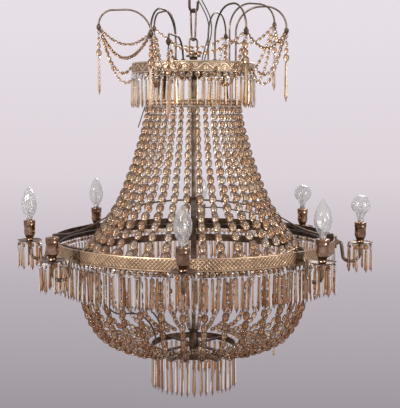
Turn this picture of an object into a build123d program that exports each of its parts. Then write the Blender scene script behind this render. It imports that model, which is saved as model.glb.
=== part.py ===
from build123d import *
from math import asin, atan2, cos, degrees, hypot, pi, radians, sin, tan
import os

# Crystal chandelier of the tent and basket type, millimetres, +Z up.
# The origin is the top of the hook's shank, on the lamp's vertical axis.
# Azimuths turn about +Z from the front (-Y) towards the right (+X).

# ---------------------------------------------------------------- sizes
# hanging gear
HOOK_ROD_R = 3.0
HOOK_SHANK = 30.0
HOOK_BEND_R = 12.0
HOOK_BEND_Z = -66.0
HOOK_TURN = 45
LOOP_WIRE_R = 2.2
LOOP_TOP_R = 9.0
LOOP_FOOT_R = 6.0
LOOP_LENGTH = 70.0
STIRRUP_WIRE_R = 2.0
STIRRUP_HALF_WIDTH = 12.0
STIRRUP_LEG = 40.0
LINK_PLAY = 0.3

# stem
STEM_R = 5.0
STEM_BORE_R = 3.8
STEM_BOTTOM_Z = -872.0
NUT_R = 9.0
NUT_HEIGHT = 6.0
OUTLET_Z = -527.0

# crown
CROWN_R = 141.0
CROWN_TOP_Z = -195.0
CROWN_HEIGHT = 24.0
BAND_WALL = 1.2
RIM_PROUD = 1.0
RIM_HEIGHT = 3.0
SPIDER_RING_R = 99.0
SPIDER_RING_WIDTH = 10.0
SPIDER_Z = -209.0
SPIDER_THICK = 3.0
SPOKE_WIDTH = 10.0
SPOKES = 4
HUB_R = 32.0
HUB_CUP = ((10, -1.5), (24, -1.5), (22, -11), (13, -23), (10, -23))

# plumes
# azimuth, height of the peak, radius and height of the tip; two are bent
PLUME_SHAPES = (
    (31.5, -78, 228, -135),
    (79, -71, 214, -121),
    (124, -49, 229, -92),
    (162, -63, 229, -111),
    (-151.5, -60, 229, -92),
    (-101, -69, 229, -103),
    (-20, -90, 224, -141),
    (-10, -146, 226, -158),
)
PLUME_ROD_R = 2.1
PLUME_FOOT_R = 99.0
SOCKET_R = 4.5
SOCKET_BORE_R = 2.2
SOCKET_HEIGHT = 17.0
BUD_R = 5.0
BUD_LENGTH = 14.0
EYE_R = 3.0
EYE_WIRE_R = 0.7
PENDANT_BEADS = ((8.0, 14.0), (9.0, 14.0), (13.0, 18.0))
PENDANT_WIDTH = 11.0
PENDANT_LENGTH = 90.0

# tent
TENT_RING_R = 112.0
TENT_RING_TOP_Z = -277.0
TENT_RING_HEIGHT = 17.0
STRUT_WIDTH = 8.0
STRUT_THICK = 2.0
LOOSE_STRIP = ((0, -110.8, -290), (0, -128, -341))
LOOSE_WIDTH = 5.0
LOOSE_AZIMUTH = -87.0
TENT_STRANDS = 36
TENT_START = 8.0
TENT_BEADS = 18
TENT_BEAD_SMALL = (11.5, 14.5)
TENT_BEAD_LARGE = (20.0, 24.0)
TENT_PROFILE = (
    (107, -294), (108, -308), (113, -336), (123, -371), (136, -418),
    (154, -465), (173, -512), (195, -548), (220, -586), (244, -617),
)

# main ring
RING_R = 327.0
RING_TOP_Z = -592.0
RING_HEIGHT = 28.0
HOOP_R = 262.0
HOOP_TOP_Z = -626.0
HOOP_HEIGHT = 18.0
HOOP_WALL = 3.0
STRAP_WIDTH = 12.0
STRAP_THICK = 3.0
STRAP_START = 3.0
STRAP_PROFILE = ((13, -508), (100, -515), (186, -539), (240, -569), (282, -585), (328, -589))
COLLAR_R = 15.0
COLLAR_HEIGHT = 14.0
COLLAR_Z = -509.0
BRACKET_WIDTH = 12.0
BRACKET_THICK = 3.0

# arms
ARMS = 8
ARM_TUBE_R = 4.0
ARM_BORE_R = 3.0
ARM_INSIDE = 3.0
ARM_LEVEL = 20.0
ARM_DIP = 45.0
ARM_FLAT = 38.0
PLATE_WIDTH = 16.0
PLATE_THICK = 5.0
PLATE_HEIGHT = 28.0
LAMP_R = 388.0
PAN_R = 30.0
BOBECHE_Z = -610.0
HOLDER_BOTTOM_Z = -597.0
HOLDER_HEIGHT = 38.0
HOLDER_R = 13.5
HOLDER_BORE_R = 7.0
HOLDER_BORE_DEPTH = 24.0
CONTACT_R = 5.2
CAP_R = 6.6
CAP_DEPTH = 20.0
CANDLE_R = 18.0
CANDLE_LENGTH = 80.0
GLOBE_R = 22.5
GLOBE_RISE = 40.0
GLOBE_NECK_R = 8.5
CANDLE_ARMS = (1, 2, 5, 7, 6)
GLOBE_ARMS = (3, 4)
BARE_ARM = 8

# fringes: count, drop width, drop length
RING_DROPS = 168
RING_DROP_WIDTH = 9.5
RING_DROP_LENGTH = 74.0
CROWN_DROPS = 56
CROWN_DROP_WIDTH = 8.5
CROWN_DROP_LENGTH = 66.0
LOWER_DROPS = 44
LOWER_DROP_WIDTH = 9.5
LOWER_DROP_LENGTH = 86.0
PAN_DROPS = 8
PAN_DROP_WIDTH = 8.5
PAN_DROP_LENGTH = 54.0
OCTAGON_R = 6.5
OCTAGON_THICK = 4.0
LINK_R = 0.6
LINK_WIDTH = 1.2
KNOT_R = 1.6
STONE_DROP = OCTAGON_R * cos(radians(22.5))

# wiring inside
WIRE_R = 1.5
WIRE_RING_R = 312.0
FEED_AZIMUTH = 93.0
BASKET_WIRE_R = 2.0
BASKET_WIRES = (
    (
        (-256, 20, -640), (-240, 18, -700), (-214, 12, -757), (-184, 5, -783), (-150, 0, -781),
        (-129, 0, -784), (-108, 0, -800), (-94, 0, -824), (-92, 0, -856),
    ),
    (
        (-250, 54, -640), (-232, 52, -705), (-200, 42, -757), (-160, 32, -775), (-125, 27, -771),
        (-103, 25, -781), (-88, 25, -800), (-80, 25, -826), (-80, 26, -856),
    ),
)

# basket
BASKET_STRANDS = 36
BASKET_START = 8.0
BASKET_BEADS = 15
BASKET_BEAD_UPPER = (17.0, 22.0)
BASKET_BEAD_LOWER = (13.0, 17.0)
BASKET_PROFILE = (
    (266, -652), (264, -700), (258, -746), (247, -780), (231, -808),
    (208, -830), (176, -841), (140, -844), (106, -844),
)
LOWER_RING_R = 100.0
LOWER_RING_TOP_Z = -850.0
LOWER_RING_HEIGHT = 14.0
LOWER_RING_WALL = 3.0
LOWER_LINK = 4.0
LOWER_HUB_R = 11.0
LOWER_HUB_HEIGHT = 40.0
LOWER_HUB_Z = -843.0
LOWER_SPOKE_Z = -853.0
FINIAL_TOP_Z = -863.4
STRAY_STRAND = 7
STRAY_R = 192.0
STRAY_TOP_Z = -836.0
STRAY_LINK = 12.0
STRAY_WIDTH = 8.0
STRAY_LENGTH = 22.0

# swags
# crown swags: turn from the plume, height of the lower end, sag
SWAG_BEAD = (8.5, 12.0)
SWAG_PITCH = 14.0
SWAG_SAG = 0.2
CROWN_SWAGS = ((12.0, -201.0, 52.0), (-9.0, -207.0, 72.0))
SWAG_MIN_SPAN = 80.0
SWAG_STEPS = 20

# supply leads
LEAD_R = 1.4
LEAD_HOLES = ((18, -4), (24, -6))
LEAD_ROUTE_1 = (
    (18, -4, -212), (18.5, -3, -188), (27, 3, -158), (36, 12, -126),
    (33, 25, -93), (19, 38, -64), (6, 45, -41), (4, 46, -26),
)
LEAD_ROUTE_2 = (
    (24, -6, -212), (24.5, -5, -188), (33, 1, -160), (42, 9, -127),
    (40, 22, -92), (26, 37, -62), (13, 45, -40), (12, 46, -26),
)
BLOCK_SIZE = (22.0, 14.0, 20.0)

os.makedirs("parts", exist_ok=True)


# -------------------------------------------------------------- helpers
def save(shape, node):
    """Write one named node, without the curves that a reader can work out."""
    export_step(shape, f"parts/{node}.step", write_pcurves=False)


def polar(radius, azimuth, z):
    """Point at an azimuth counted from the front towards the right."""
    turn = radians(azimuth)
    return Vector(radius * sin(turn), -radius * cos(turn), z)


def turned(shape, azimuth):
    """A shape made in the front half plane, turned to its azimuth."""
    return Rot(0, 0, azimuth) * shape


def rod(start, end, radius):
    """Round bar between two points."""
    start = Vector(start)
    run = Vector(end) - start
    return Plane(start, z_dir=run) * Cylinder(
        radius, run.length, align=(Align.CENTER, Align.CENTER, Align.MIN)
    )


def bent_rod(points, radii, radius):
    """Round bar along straight runs with rounded corners."""
    path = FilletPolyline(*points, radius=radii)
    return sweep(Plane(path @ 0, z_dir=path % 0) * Circle(radius), path)


def band(radius, top_z, height, wall):
    """Thin upright hoop."""
    hoop = Cylinder(radius, height) - Cylinder(radius - wall, height + 1)
    return Pos(0, 0, top_z - height / 2) * hoop


def lathe(profile):
    """Solid turned about Z from radius and height pairs."""
    points = [(r, 0, z) for r, z in profile]
    face = make_face(Polyline(*points, close=True))
    return revolve(face, Axis.Z)


def rimmed_band(radius, top_z, height):
    """Ornamental band: a thin wall with a thicker rim above and below."""
    inner = radius - BAND_WALL
    low_z = top_z - height
    slope = RIM_HEIGHT + RIM_PROUD
    outside = (
        (radius + RIM_PROUD, top_z), (radius + RIM_PROUD, top_z - RIM_HEIGHT),
        (radius, top_z - slope), (radius, low_z + slope),
        (radius + RIM_PROUD, low_z + RIM_HEIGHT), (radius + RIM_PROUD, low_z),
    )
    inside = (
        (inner - RIM_PROUD, low_z), (inner - RIM_PROUD, low_z + RIM_HEIGHT),
        (inner, low_z + slope), (inner, top_z - slope),
        (inner - RIM_PROUD, top_z - RIM_HEIGHT), (inner - RIM_PROUD, top_z),
    )
    return lathe(outside + inside)


def bead(start, end, width):
    """Oval bead between two knots of its string."""
    run = Vector(end) - Vector(start)
    r = width / 2
    length = run.length
    neck = KNOT_R * 0.7
    outline = ((0, 0), (neck, 0), (r, length / 2), (neck, length), (0, length))
    return Plane(start, z_dir=run) * lathe(outline)


def walk(profile, shares):
    """Points at the given shares of a polyline's length."""
    runs = [(Vector(*b) - Vector(*a)).length for a, b in zip(profile, profile[1:])]
    points = []
    for share in shares:
        left = share * sum(runs)
        leg = 0
        while left > runs[leg] and leg < len(runs) - 1:
            left -= runs[leg]
            leg += 1
        start = Vector(*profile[leg])
        points.append(start + (Vector(*profile[leg + 1]) - start) * (left / runs[leg]))
    return points


def bead_string(profile, sizes, hangers=()):
    """Beads from knot to knot along a polyline, with its end wires, as one solid."""
    weight = sum(length for _, length in sizes)
    shares = [0.0]
    for _, length in sizes:
        shares.append(shares[-1] + length / weight)
    knots = walk(profile, shares)
    beads = [bead(a, b, size[0]) for a, b, size in zip(knots, knots[1:], sizes)]
    beads += [Pos(*knot) * Sphere(KNOT_R) for knot in knots]
    beads += [rod(a, b, LINK_R) for a, b in hangers]
    return beads[0] + beads[1:]


def graded(small, large, count):
    """Bead sizes that grow evenly from small to large."""
    steps = [i / (count - 1) for i in range(count)]
    return [tuple(a + (b - a) * step for a, b in zip(small, large)) for step in steps]


def front_points(profile):
    """Radius and height pairs as points in front of the axis."""
    return [(0, -r, z) for r, z in profile]


def faceted(sections):
    """Cut glass with flat sides through rectangles given as height, width and depth."""
    rings = []
    for z, width, depth in sections:
        corners = ((-1, -1), (1, -1), (1, 1), (-1, 1))
        rings.append([Vector(x * width / 2, y * depth / 2, z) for x, y in corners])
    faces = [Face(Wire.make_polygon(rings[0])), Face(Wire.make_polygon(rings[-1]))]
    for upper, lower in zip(rings, rings[1:]):
        for i in range(4):
            k = (i + 1) % 4
            faces.append(Face(Wire.make_polygon([upper[i], upper[k], lower[k], lower[i]])))
    return Solid(Shell(faces))


def drop(top_z, width, length):
    """Long prism of four sides that hangs from top_z and ends in a point."""
    return faceted(
        (
            (top_z, width * 0.7, width * 0.5),
            (top_z - length * 0.86, width, width * 0.7),
            (top_z - length, width * 0.12, width * 0.12),
        )
    )


def stone(rim_z):
    """Eight sided stone whose upper flat meets the rim."""
    plate = extrude(RegularPolygon(OCTAGON_R, 8), OCTAGON_THICK / 2, both=True)
    return Pos(0, 0, rim_z - STONE_DROP) * (Rot(90, 0, 0) * (Rot(0, 0, 22.5) * plate))


def fringe(radius, rim_z, count, width, length, start=0.0):
    """Stones and drops that hang below a rim, as two lists."""
    stones = Pos(0, -radius, 0) * stone(rim_z)
    glass = Pos(0, -radius, 0) * drop(rim_z - 2 * STONE_DROP, width, length)
    return ring_of(stones, count, start), ring_of(glass, count, start)


def ring_of(shape, count, start=0.0):
    """Copies of a shape set evenly round the axis."""
    return [turned(shape, start + 360 * i / count) for i in range(count)]


def cord_path(points):
    """Route of a cord: straight runs joined by arcs as large as they allow."""
    points = [Vector(*p) for p in points]
    radii = []
    for a, b, c in zip(points, points[1:], points[2:]):
        turn = radians((b - a).get_angle(c - b))
        short = min((b - a).length, (c - b).length)
        radii.append(0.45 * short / tan(turn / 2))
    print("cord radii", [round(r, 1) for r in radii])
    return FilletPolyline(*points, radius=radii)


def cord(points, node):
    """Round cord along its route, with its volume set against its length."""
    path = cord_path(points)
    solid = sweep(Plane(path @ 0, z_dir=path % 0) * Circle(LEAD_R), path)
    print(node, "length", round(path.length, 1))
    print(node, "volume share", round(solid.volume / (pi * LEAD_R**2 * path.length), 4))
    save(solid, node)


# --------------------------------------------------------- hanging gear
hook_path = [
    (0, 0, 0),
    (0, 0, -HOOK_SHANK),
    (-HOOK_BEND_R, 0, -HOOK_SHANK - 16),
    (-HOOK_BEND_R, 0, HOOK_BEND_Z - HOOK_BEND_R),
    (HOOK_BEND_R, 0, HOOK_BEND_Z - HOOK_BEND_R),
    (HOOK_BEND_R + 2, 0, HOOK_BEND_Z + HOOK_BEND_R),
]
hook = bent_rod(hook_path, [10, 10, HOOK_BEND_R - 0.1, HOOK_BEND_R - 0.5], HOOK_ROD_R)
save(turned(hook, HOOK_TURN), "ceiling_hook")

loop_top_z = HOOK_BEND_Z - HOOK_BEND_R + HOOK_ROD_R + LOOP_WIRE_R + LINK_PLAY
loop_foot_z = loop_top_z - LOOP_LENGTH
top_center = loop_top_z - LOOP_TOP_R
foot_center = loop_foot_z + LOOP_FOOT_R
lean = asin((LOOP_TOP_R - LOOP_FOOT_R) / (top_center - foot_center))
side_y = cos(lean)
side_z = -sin(lean)
loop_points = {}
for side in (-1, 1):
    loop_points[side] = (
        (0, side * LOOP_TOP_R * side_y, top_center + LOOP_TOP_R * side_z),
        (0, side * LOOP_FOOT_R * side_y, foot_center + LOOP_FOOT_R * side_z),
    )
loop_path = Wire(
    [
        ThreePointArc(loop_points[-1][0], (0, 0, loop_top_z), loop_points[1][0]),
        Line(loop_points[1][0], loop_points[1][1]),
        ThreePointArc(loop_points[1][1], (0, 0, loop_foot_z), loop_points[-1][1]),
        Line(loop_points[-1][1], loop_points[-1][0]),
    ]
)
loop = sweep(Plane(loop_path @ 0, z_dir=loop_path % 0) * Circle(LOOP_WIRE_R), loop_path)
save(turned(loop, HOOK_TURN), "hanging_loop")

stirrup_z = loop_foot_z + LOOP_WIRE_R + STIRRUP_WIRE_R + LINK_PLAY
stirrup_foot_z = stirrup_z - STIRRUP_LEG
stirrup_path = [
    (-STIRRUP_HALF_WIDTH, 0, stirrup_foot_z),
    (-STIRRUP_HALF_WIDTH, 0, stirrup_z),
    (STIRRUP_HALF_WIDTH, 0, stirrup_z),
    (STIRRUP_HALF_WIDTH, 0, stirrup_foot_z),
]
bow = bent_rod(stirrup_path, [STIRRUP_HALF_WIDTH * 0.7] * 2, STIRRUP_WIRE_R)
plate = Cylinder(STIRRUP_HALF_WIDTH + 5, 4) - Cylinder(STEM_R, 5)
stirrup = bow + Pos(0, 0, stirrup_foot_z) * plate
save(turned(stirrup, HOOK_TURN), "top_stirrup")

# ----------------------------------------------------------------- stem
stem_top_z = stirrup_foot_z + NUT_HEIGHT + 3
stem_length = stem_top_z - STEM_BOTTOM_Z
stem = Cylinder(STEM_R, stem_length) - Cylinder(STEM_BORE_R, stem_length + 1)
stem = Pos(0, 0, (stem_top_z + STEM_BOTTOM_Z) / 2) * stem
outlet = turned(rod((0, 0, OUTLET_Z), (0, -STEM_R - 2, OUTLET_Z), WIRE_R + 0.6), FEED_AZIMUTH)
save(stem - outlet, "stem_tube")

nut = extrude(RegularPolygon(NUT_R, 6) - Circle(STEM_R), NUT_HEIGHT / 2, both=True)
nut_heights = (
    stirrup_foot_z + 2 + NUT_HEIGHT / 2,
    stirrup_foot_z - 2 - NUT_HEIGHT / 2,
    SPIDER_Z - SPIDER_THICK / 2 - NUT_HEIGHT / 2,
    COLLAR_Z - COLLAR_HEIGHT / 2 - NUT_HEIGHT / 2,
    LOWER_HUB_Z + LOWER_HUB_HEIGHT / 2 + NUT_HEIGHT / 2,
)
save(Compound([Pos(0, 0, z) * nut for z in nut_heights]), "stem_nuts")

# ---------------------------------------------------------------- crown
hub = Cylinder(HUB_R, SPIDER_THICK)
annulus = Cylinder(SPIDER_RING_R + SPIDER_RING_WIDTH / 2, SPIDER_THICK)
annulus -= Cylinder(SPIDER_RING_R - SPIDER_RING_WIDTH / 2, SPIDER_THICK + 1)
spoke_end = CROWN_R - BAND_WALL / 2
spoke = Pos(0, -spoke_end / 2, 0) * Box(SPOKE_WIDTH, spoke_end, SPIDER_THICK)
spider = hub + annulus + ring_of(spoke, SPOKES, 45) + lathe(HUB_CUP)
spider -= Cylinder(STEM_R, SPIDER_THICK + 1)
for x, y in LEAD_HOLES:
    spider -= Pos(x, y, 0) * Cylinder(LEAD_R + 0.4, HUB_R * 2)
socket = Cylinder(SOCKET_R, SOCKET_HEIGHT, align=(Align.CENTER, Align.CENTER, Align.MIN))
socket -= Cylinder(SOCKET_BORE_R, SOCKET_HEIGHT, align=(Align.CENTER, Align.CENTER, Align.MIN))
socket = Pos(0, -PLUME_FOOT_R, SPIDER_THICK / 2) * socket
spider += [turned(socket, shape[0]) for shape in PLUME_SHAPES]
save(Pos(0, 0, SPIDER_Z) * spider, "crown_spider")

save(rimmed_band(CROWN_R, CROWN_TOP_Z, CROWN_HEIGHT), "crown_band")
crown_rim_r = CROWN_R - BAND_WALL / 2
stones, drops = fringe(
    crown_rim_r, CROWN_TOP_Z - CROWN_HEIGHT, CROWN_DROPS, CROWN_DROP_WIDTH, CROWN_DROP_LENGTH
)
save(Compound(stones), "crown_octagons")
save(Compound(drops), "crown_prisms")

# --------------------------------------------------------------- plumes
def plume_eye(shape):
    """Middle of the ring under one plume's bud."""
    azimuth, _, tip_r, tip_z = shape
    return polar(tip_r, azimuth, tip_z - BUD_LENGTH - EYE_R + EYE_WIRE_R)


def plume_rod(shape):
    """Sprung rod: up, over in two quarter bends and down to its tip."""
    azimuth, peak_z, tip_r, tip_z = shape
    reach = tip_r - PLUME_FOOT_R
    far_bend = min(reach * 0.49, (peak_z - tip_z) * 0.98)
    path = [
        (0, -PLUME_FOOT_R, SPIDER_Z + SPIDER_THICK / 2),
        (0, -PLUME_FOOT_R, peak_z),
        (0, -tip_r, peak_z),
        (0, -tip_r, tip_z),
    ]
    near_bend = min(reach * 0.49, (peak_z - SPIDER_Z) * 0.8)
    return turned(bent_rod(path, [near_bend, far_bend], PLUME_ROD_R), azimuth)


def plume_bud(shape):
    """Cast bud on a rod's tip, with the ring that carries the glass."""
    azimuth, _, tip_r, tip_z = shape
    outline = ((0, 2), (3, 2), (BUD_R, -2), (BUD_R * 0.9, -8), (1.4, 1 - BUD_LENGTH), (0, -BUD_LENGTH))
    bud = turned(Pos(0, -tip_r, tip_z) * lathe(outline), azimuth)
    ring = Rot(0, 0, azimuth) * (Rot(0, 90, 0) * Torus(EYE_R, EYE_WIRE_R))
    return bud + Pos(*plume_eye(shape)) * ring


def plume_pendant(shape):
    """Link, small beads and a long prism that swing in the bud's ring."""
    pivot = plume_eye(shape) + Vector(0, 0, EYE_WIRE_R + LINK_R + LINK_PLAY - EYE_R)
    first_z = -2 * EYE_R - 3
    prism_z = first_z - sum(length for _, length in PENDANT_BEADS)
    link = Pos(0, 0, -EYE_R) * (Rot(90, 0, 0) * Torus(EYE_R, LINK_R))
    route = [(0, 0, first_z), (0, 0, prism_z)]
    wires = [((0, 0, -2 * EYE_R), route[0]), (route[1], (0, 0, prism_z - 2))]
    beads = bead_string(route, PENDANT_BEADS, wires)
    prism = drop(prism_z, PENDANT_WIDTH, PENDANT_LENGTH)
    return Pos(*pivot) * (Rot(0, 0, shape[0]) * (link + beads + prism)), pivot


save(Compound([plume_rod(shape) for shape in PLUME_SHAPES]), "plume_rods")
save(Compound([plume_bud(shape) for shape in PLUME_SHAPES]), "plume_buds")
for number, shape in enumerate(PLUME_SHAPES, 1):
    pendant, pivot = plume_pendant(shape)
    save(pendant, f"plume_pendant_{number}")
    print("pendant pivot", number, shape[0], [round(v, 3) for v in pivot])


# ---------------------------------------------------------------- swags
def swag(start, end, sag, free_steps=0):
    """Fine bead string that hangs in a parabola; its first steps may be bare wire."""
    run = end - start
    reach = hypot(run.X, run.Y)
    route = []
    for step in range(SWAG_STEPS + 1):
        share = step / SWAG_STEPS
        dip = 4 * sag * share * (1 - share)
        route.append((0, -reach * share, run.Z * share - dip))
    strung = route[free_steps:]
    length = sum((Vector(*b) - Vector(*a)).length for a, b in zip(strung, strung[1:]))
    wires = [(route[0], route[free_steps])] if free_steps else []
    string = bead_string(strung, [SWAG_BEAD] * round(length / SWAG_PITCH), wires)
    return Pos(*start) * turned(string, degrees(atan2(run.X, -run.Y)))


def swag_hook(shape, toward):
    """Point on a bud's flank, on the side of the swag's far end."""
    azimuth, _, tip_r, tip_z = shape
    middle = polar(tip_r, azimuth, tip_z - BUD_LENGTH / 2)
    side = Vector(toward.X - middle.X, toward.Y - middle.Y, 0).normalized()
    return middle + side * (BUD_R - 1)


def crown_anchor(azimuth, z):
    """Point in the crown band's wall where a swag is hooked."""
    return polar(CROWN_R - BAND_WALL / 2, azimuth, z)


swags = []
tips = sorted(PLUME_SHAPES)
for shape, following in zip(tips, tips[1:] + tips[:1]):
    start = swag_hook(shape, plume_eye(following))
    end = swag_hook(following, plume_eye(shape))
    span = (end - start).length
    if span > SWAG_MIN_SPAN:
        swags.append(swag(start, end, span * SWAG_SAG))
    for turn, anchor_z, sag in CROWN_SWAGS:
        anchor = crown_anchor(shape[0] + turn, anchor_z)
        swags.append(swag(swag_hook(shape, anchor), anchor, sag, 1))
save(Compound(swags), "swag_chains")

# ----------------------------------------------------------------- tent
save(rimmed_band(TENT_RING_R, TENT_RING_TOP_Z, TENT_RING_HEIGHT), "tent_top_ring")

strut_top = Vector(0, -SPIDER_RING_R, SPIDER_Z)
strut_foot = Vector(0, -TENT_RING_R + BAND_WALL, TENT_RING_TOP_Z - TENT_RING_HEIGHT * 0.6)
strut_run = strut_foot - strut_top
strut_plane = Plane((strut_top + strut_foot) / 2, x_dir=(1, 0, 0), z_dir=strut_run)
strut = strut_plane * Box(STRUT_WIDTH, STRUT_THICK, strut_run.length)
loose_run = Vector(*LOOSE_STRIP[1]) - Vector(*LOOSE_STRIP[0])
loose_middle = (Vector(*LOOSE_STRIP[1]) + Vector(*LOOSE_STRIP[0])) / 2
loose_plane = Plane(loose_middle, x_dir=(1, 0, 0), z_dir=loose_run)
loose = loose_plane * Box(LOOSE_WIDTH, STRUT_THICK, loose_run.length)
struts = ring_of(strut, SPOKES, 45)
save(Compound(struts + [turned(loose, LOOSE_AZIMUTH)]), "crown_struts")

tent_hang = (0, -TENT_RING_R + BAND_WALL, TENT_RING_TOP_Z - TENT_RING_HEIGHT + 1)
hoop_catch = (0, -HOOP_R + HOOP_WALL / 2, HOOP_TOP_Z - 1)
tent_sizes = graded(TENT_BEAD_SMALL, TENT_BEAD_LARGE, TENT_BEADS)
tent_line = front_points(TENT_PROFILE)
tent_wires = [(tent_hang, tent_line[0]), (tent_line[-1], hoop_catch)]
tent_strand = bead_string(tent_line, tent_sizes, tent_wires)
print("tent strand solids", len(tent_strand.solids()))
save(Compound(ring_of(tent_strand, TENT_STRANDS, TENT_START)), "tent_strands")

# ------------------------------------------------------------ main ring
collar = Cylinder(COLLAR_R, COLLAR_HEIGHT) - Cylinder(STEM_R, COLLAR_HEIGHT + 1)
save(Pos(0, 0, COLLAR_Z) * collar, "strap_collar")

upper = Spline([Vector(0, r, z) for r, z in STRAP_PROFILE], tangents=[(0, 1, 0), (0, 1, 0)])
lower = upper.moved(Location((0, 0, -STRAP_THICK)))
strap_face = make_face([upper, Line(upper @ 1, lower @ 1), lower, Line(lower @ 0, upper @ 0)])
strap = extrude(strap_face, STRAP_WIDTH / 2, dir=(1, 0, 0), both=True)
save(Compound(ring_of(Rot(0, 0, 180) * strap, SPOKES, STRAP_START)), "ring_straps")

hoop_body = band(HOOP_R, HOOP_TOP_Z, HOOP_HEIGHT, HOOP_WALL)
save(hoop_body, "inner_hoop")

bracket_start = Vector(0, -HOOP_R + 1, HOOP_TOP_Z - 3)
bracket_end = Vector(0, -RING_R + BAND_WALL / 2, RING_TOP_Z - RING_HEIGHT + 4)
bracket_run = bracket_end - bracket_start
bracket_plane = Plane((bracket_start + bracket_end) / 2, x_dir=(1, 0, 0), z_dir=bracket_run)
bracket = bracket_plane * Box(BRACKET_WIDTH, BRACKET_THICK, bracket_run.length)
save(Compound(ring_of(bracket, ARMS)), "hoop_brackets")

arm_z = RING_TOP_Z - RING_HEIGHT / 2
main_band = rimmed_band(RING_R, RING_TOP_Z, RING_HEIGHT)
arm_hole = rod((0, -RING_R + 8, arm_z), (0, -RING_R - 4, arm_z), ARM_TUBE_R)
for hole in ring_of(arm_hole, ARMS):
    main_band -= hole
save(main_band, "main_band")
ring_rim_r = RING_R - BAND_WALL / 2
ring_bottom_z = RING_TOP_Z - RING_HEIGHT
stones, drops = fringe(
    ring_rim_r, ring_bottom_z, RING_DROPS, RING_DROP_WIDTH, RING_DROP_LENGTH, 180 / RING_DROPS
)
save(Compound(stones), "band_octagons")
save(Compound(drops), "band_prisms")

# ----------------------------------------------------------------- arms
root_r = RING_R - ARM_INSIDE
arm_path = [
    (0, -root_r, arm_z),
    (0, -root_r - ARM_LEVEL, arm_z),
    (0, -LAMP_R + ARM_FLAT, arm_z - ARM_DIP),
    (0, -LAMP_R, arm_z - ARM_DIP),
    (0, -LAMP_R, HOLDER_BOTTOM_Z),
]
arm_bends = [8, 15, 20]
arm = bent_rod(arm_path, arm_bends, ARM_TUBE_R) - bent_rod(arm_path, arm_bends, ARM_BORE_R)
plate_r = RING_R + RIM_PROUD
plate = Pos(0, -plate_r - PLATE_THICK / 2, arm_z) * Box(PLATE_WIDTH, PLATE_THICK, PLATE_HEIGHT)
plate += rod((0, -plate_r, arm_z), (0, -plate_r - PLATE_THICK - 4, arm_z), ARM_TUBE_R + 3)
plate -= rod((0, -plate_r + 1, arm_z), (0, -RING_R - 11, arm_z), ARM_TUBE_R)
for number in range(1, ARMS + 1):
    save(turned(arm, (number - 1) * 360 / ARMS), f"arm_{number}")
save(Compound(ring_of(plate, ARMS)), "arm_backplates")

pan = lathe(
    (
        (ARM_TUBE_R, BOBECHE_Z + 1), (10, BOBECHE_Z), (PAN_R - 4, BOBECHE_Z + 1),
        (PAN_R, BOBECHE_Z + 4), (PAN_R, BOBECHE_Z + 5), (PAN_R - 5, BOBECHE_Z + 2.5),
        (10, BOBECHE_Z + 1.5), (ARM_TUBE_R, BOBECHE_Z + 3),
    )
)
save(Compound(ring_of(Pos(0, -LAMP_R, 0) * pan, ARMS)), "bobeches")

holder_top_z = HOLDER_BOTTOM_Z + HOLDER_HEIGHT
bore_z = holder_top_z - HOLDER_BORE_DEPTH
holder = lathe(
    (
        (ARM_TUBE_R, BOBECHE_Z + 3), (8, BOBECHE_Z + 3), (8.5, HOLDER_BOTTOM_Z - 3),
        (HOLDER_R - 2, HOLDER_BOTTOM_Z + 4), (HOLDER_R, HOLDER_BOTTOM_Z + 9),
        (HOLDER_R - 0.6, holder_top_z - 12), (HOLDER_R + 0.6, holder_top_z - 9),
        (HOLDER_R + 0.6, holder_top_z - 3), (HOLDER_R - 1, holder_top_z),
        (HOLDER_BORE_R, holder_top_z), (HOLDER_BORE_R, bore_z), (CONTACT_R + 0.1, bore_z),
        (CONTACT_R + 0.1, HOLDER_BOTTOM_Z + 1), (ARM_TUBE_R, HOLDER_BOTTOM_Z + 1),
    )
)
contact = lathe(
    (
        (0, HOLDER_BOTTOM_Z + 1), (CONTACT_R, HOLDER_BOTTOM_Z + 1),
        (CONTACT_R, bore_z - 1), (2, bore_z - 0.5), (0, bore_z - 0.5),
    )
)
holders = ring_of(Pos(0, -LAMP_R, 0) * holder, ARMS)
save(holders[BARE_ARM - 1], "bare_lamp_holder")
save(Compound([h for i, h in enumerate(holders, 1) if i != BARE_ARM]), "lamp_holders")
save(Compound(ring_of(Pos(0, -LAMP_R, 0) * contact, ARMS)), "holder_contacts")

cap = [(0, holder_top_z - CAP_DEPTH - 2), (2.5, holder_top_z - CAP_DEPTH - 2)]
cap += [(CAP_R - 2, holder_top_z - CAP_DEPTH), (CAP_R, holder_top_z - CAP_DEPTH + 3)]
cap += [(CAP_R, holder_top_z + 3)]
candle = [(0.42, 0.05), (0.62, 0.15), (0.95, 0.32), (1.0, 0.42), (0.9, 0.58), (0.55, 0.8), (0.18, 0.96)]
candle_outline = cap + [
    (CANDLE_R * r, holder_top_z + 3 + (CANDLE_LENGTH - 3) * share) for r, share in candle
]
candle_outline.append((0, holder_top_z + CANDLE_LENGTH))
globe_z = holder_top_z + GLOBE_RISE
neck = Cylinder(GLOBE_NECK_R, GLOBE_RISE - 3, align=(Align.CENTER, Align.CENTER, Align.MIN))
cap_body = lathe(cap + [(0, holder_top_z + 3)])
globe = cap_body + Pos(0, 0, holder_top_z + 3) * neck + Pos(0, 0, globe_z) * Sphere(GLOBE_R)
bulb_number = 1
for number in CANDLE_ARMS + GLOBE_ARMS:
    shape = lathe(candle_outline) if number in CANDLE_ARMS else globe
    azimuth = (number - 1) * 360 / ARMS
    save(turned(Pos(0, -LAMP_R, 0) * shape, azimuth), f"bulb_{bulb_number}")
    print("bulb", bulb_number, "arm", number, [round(v, 3) for v in polar(LAMP_R, azimuth, 0)])
    bulb_number += 1

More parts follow.
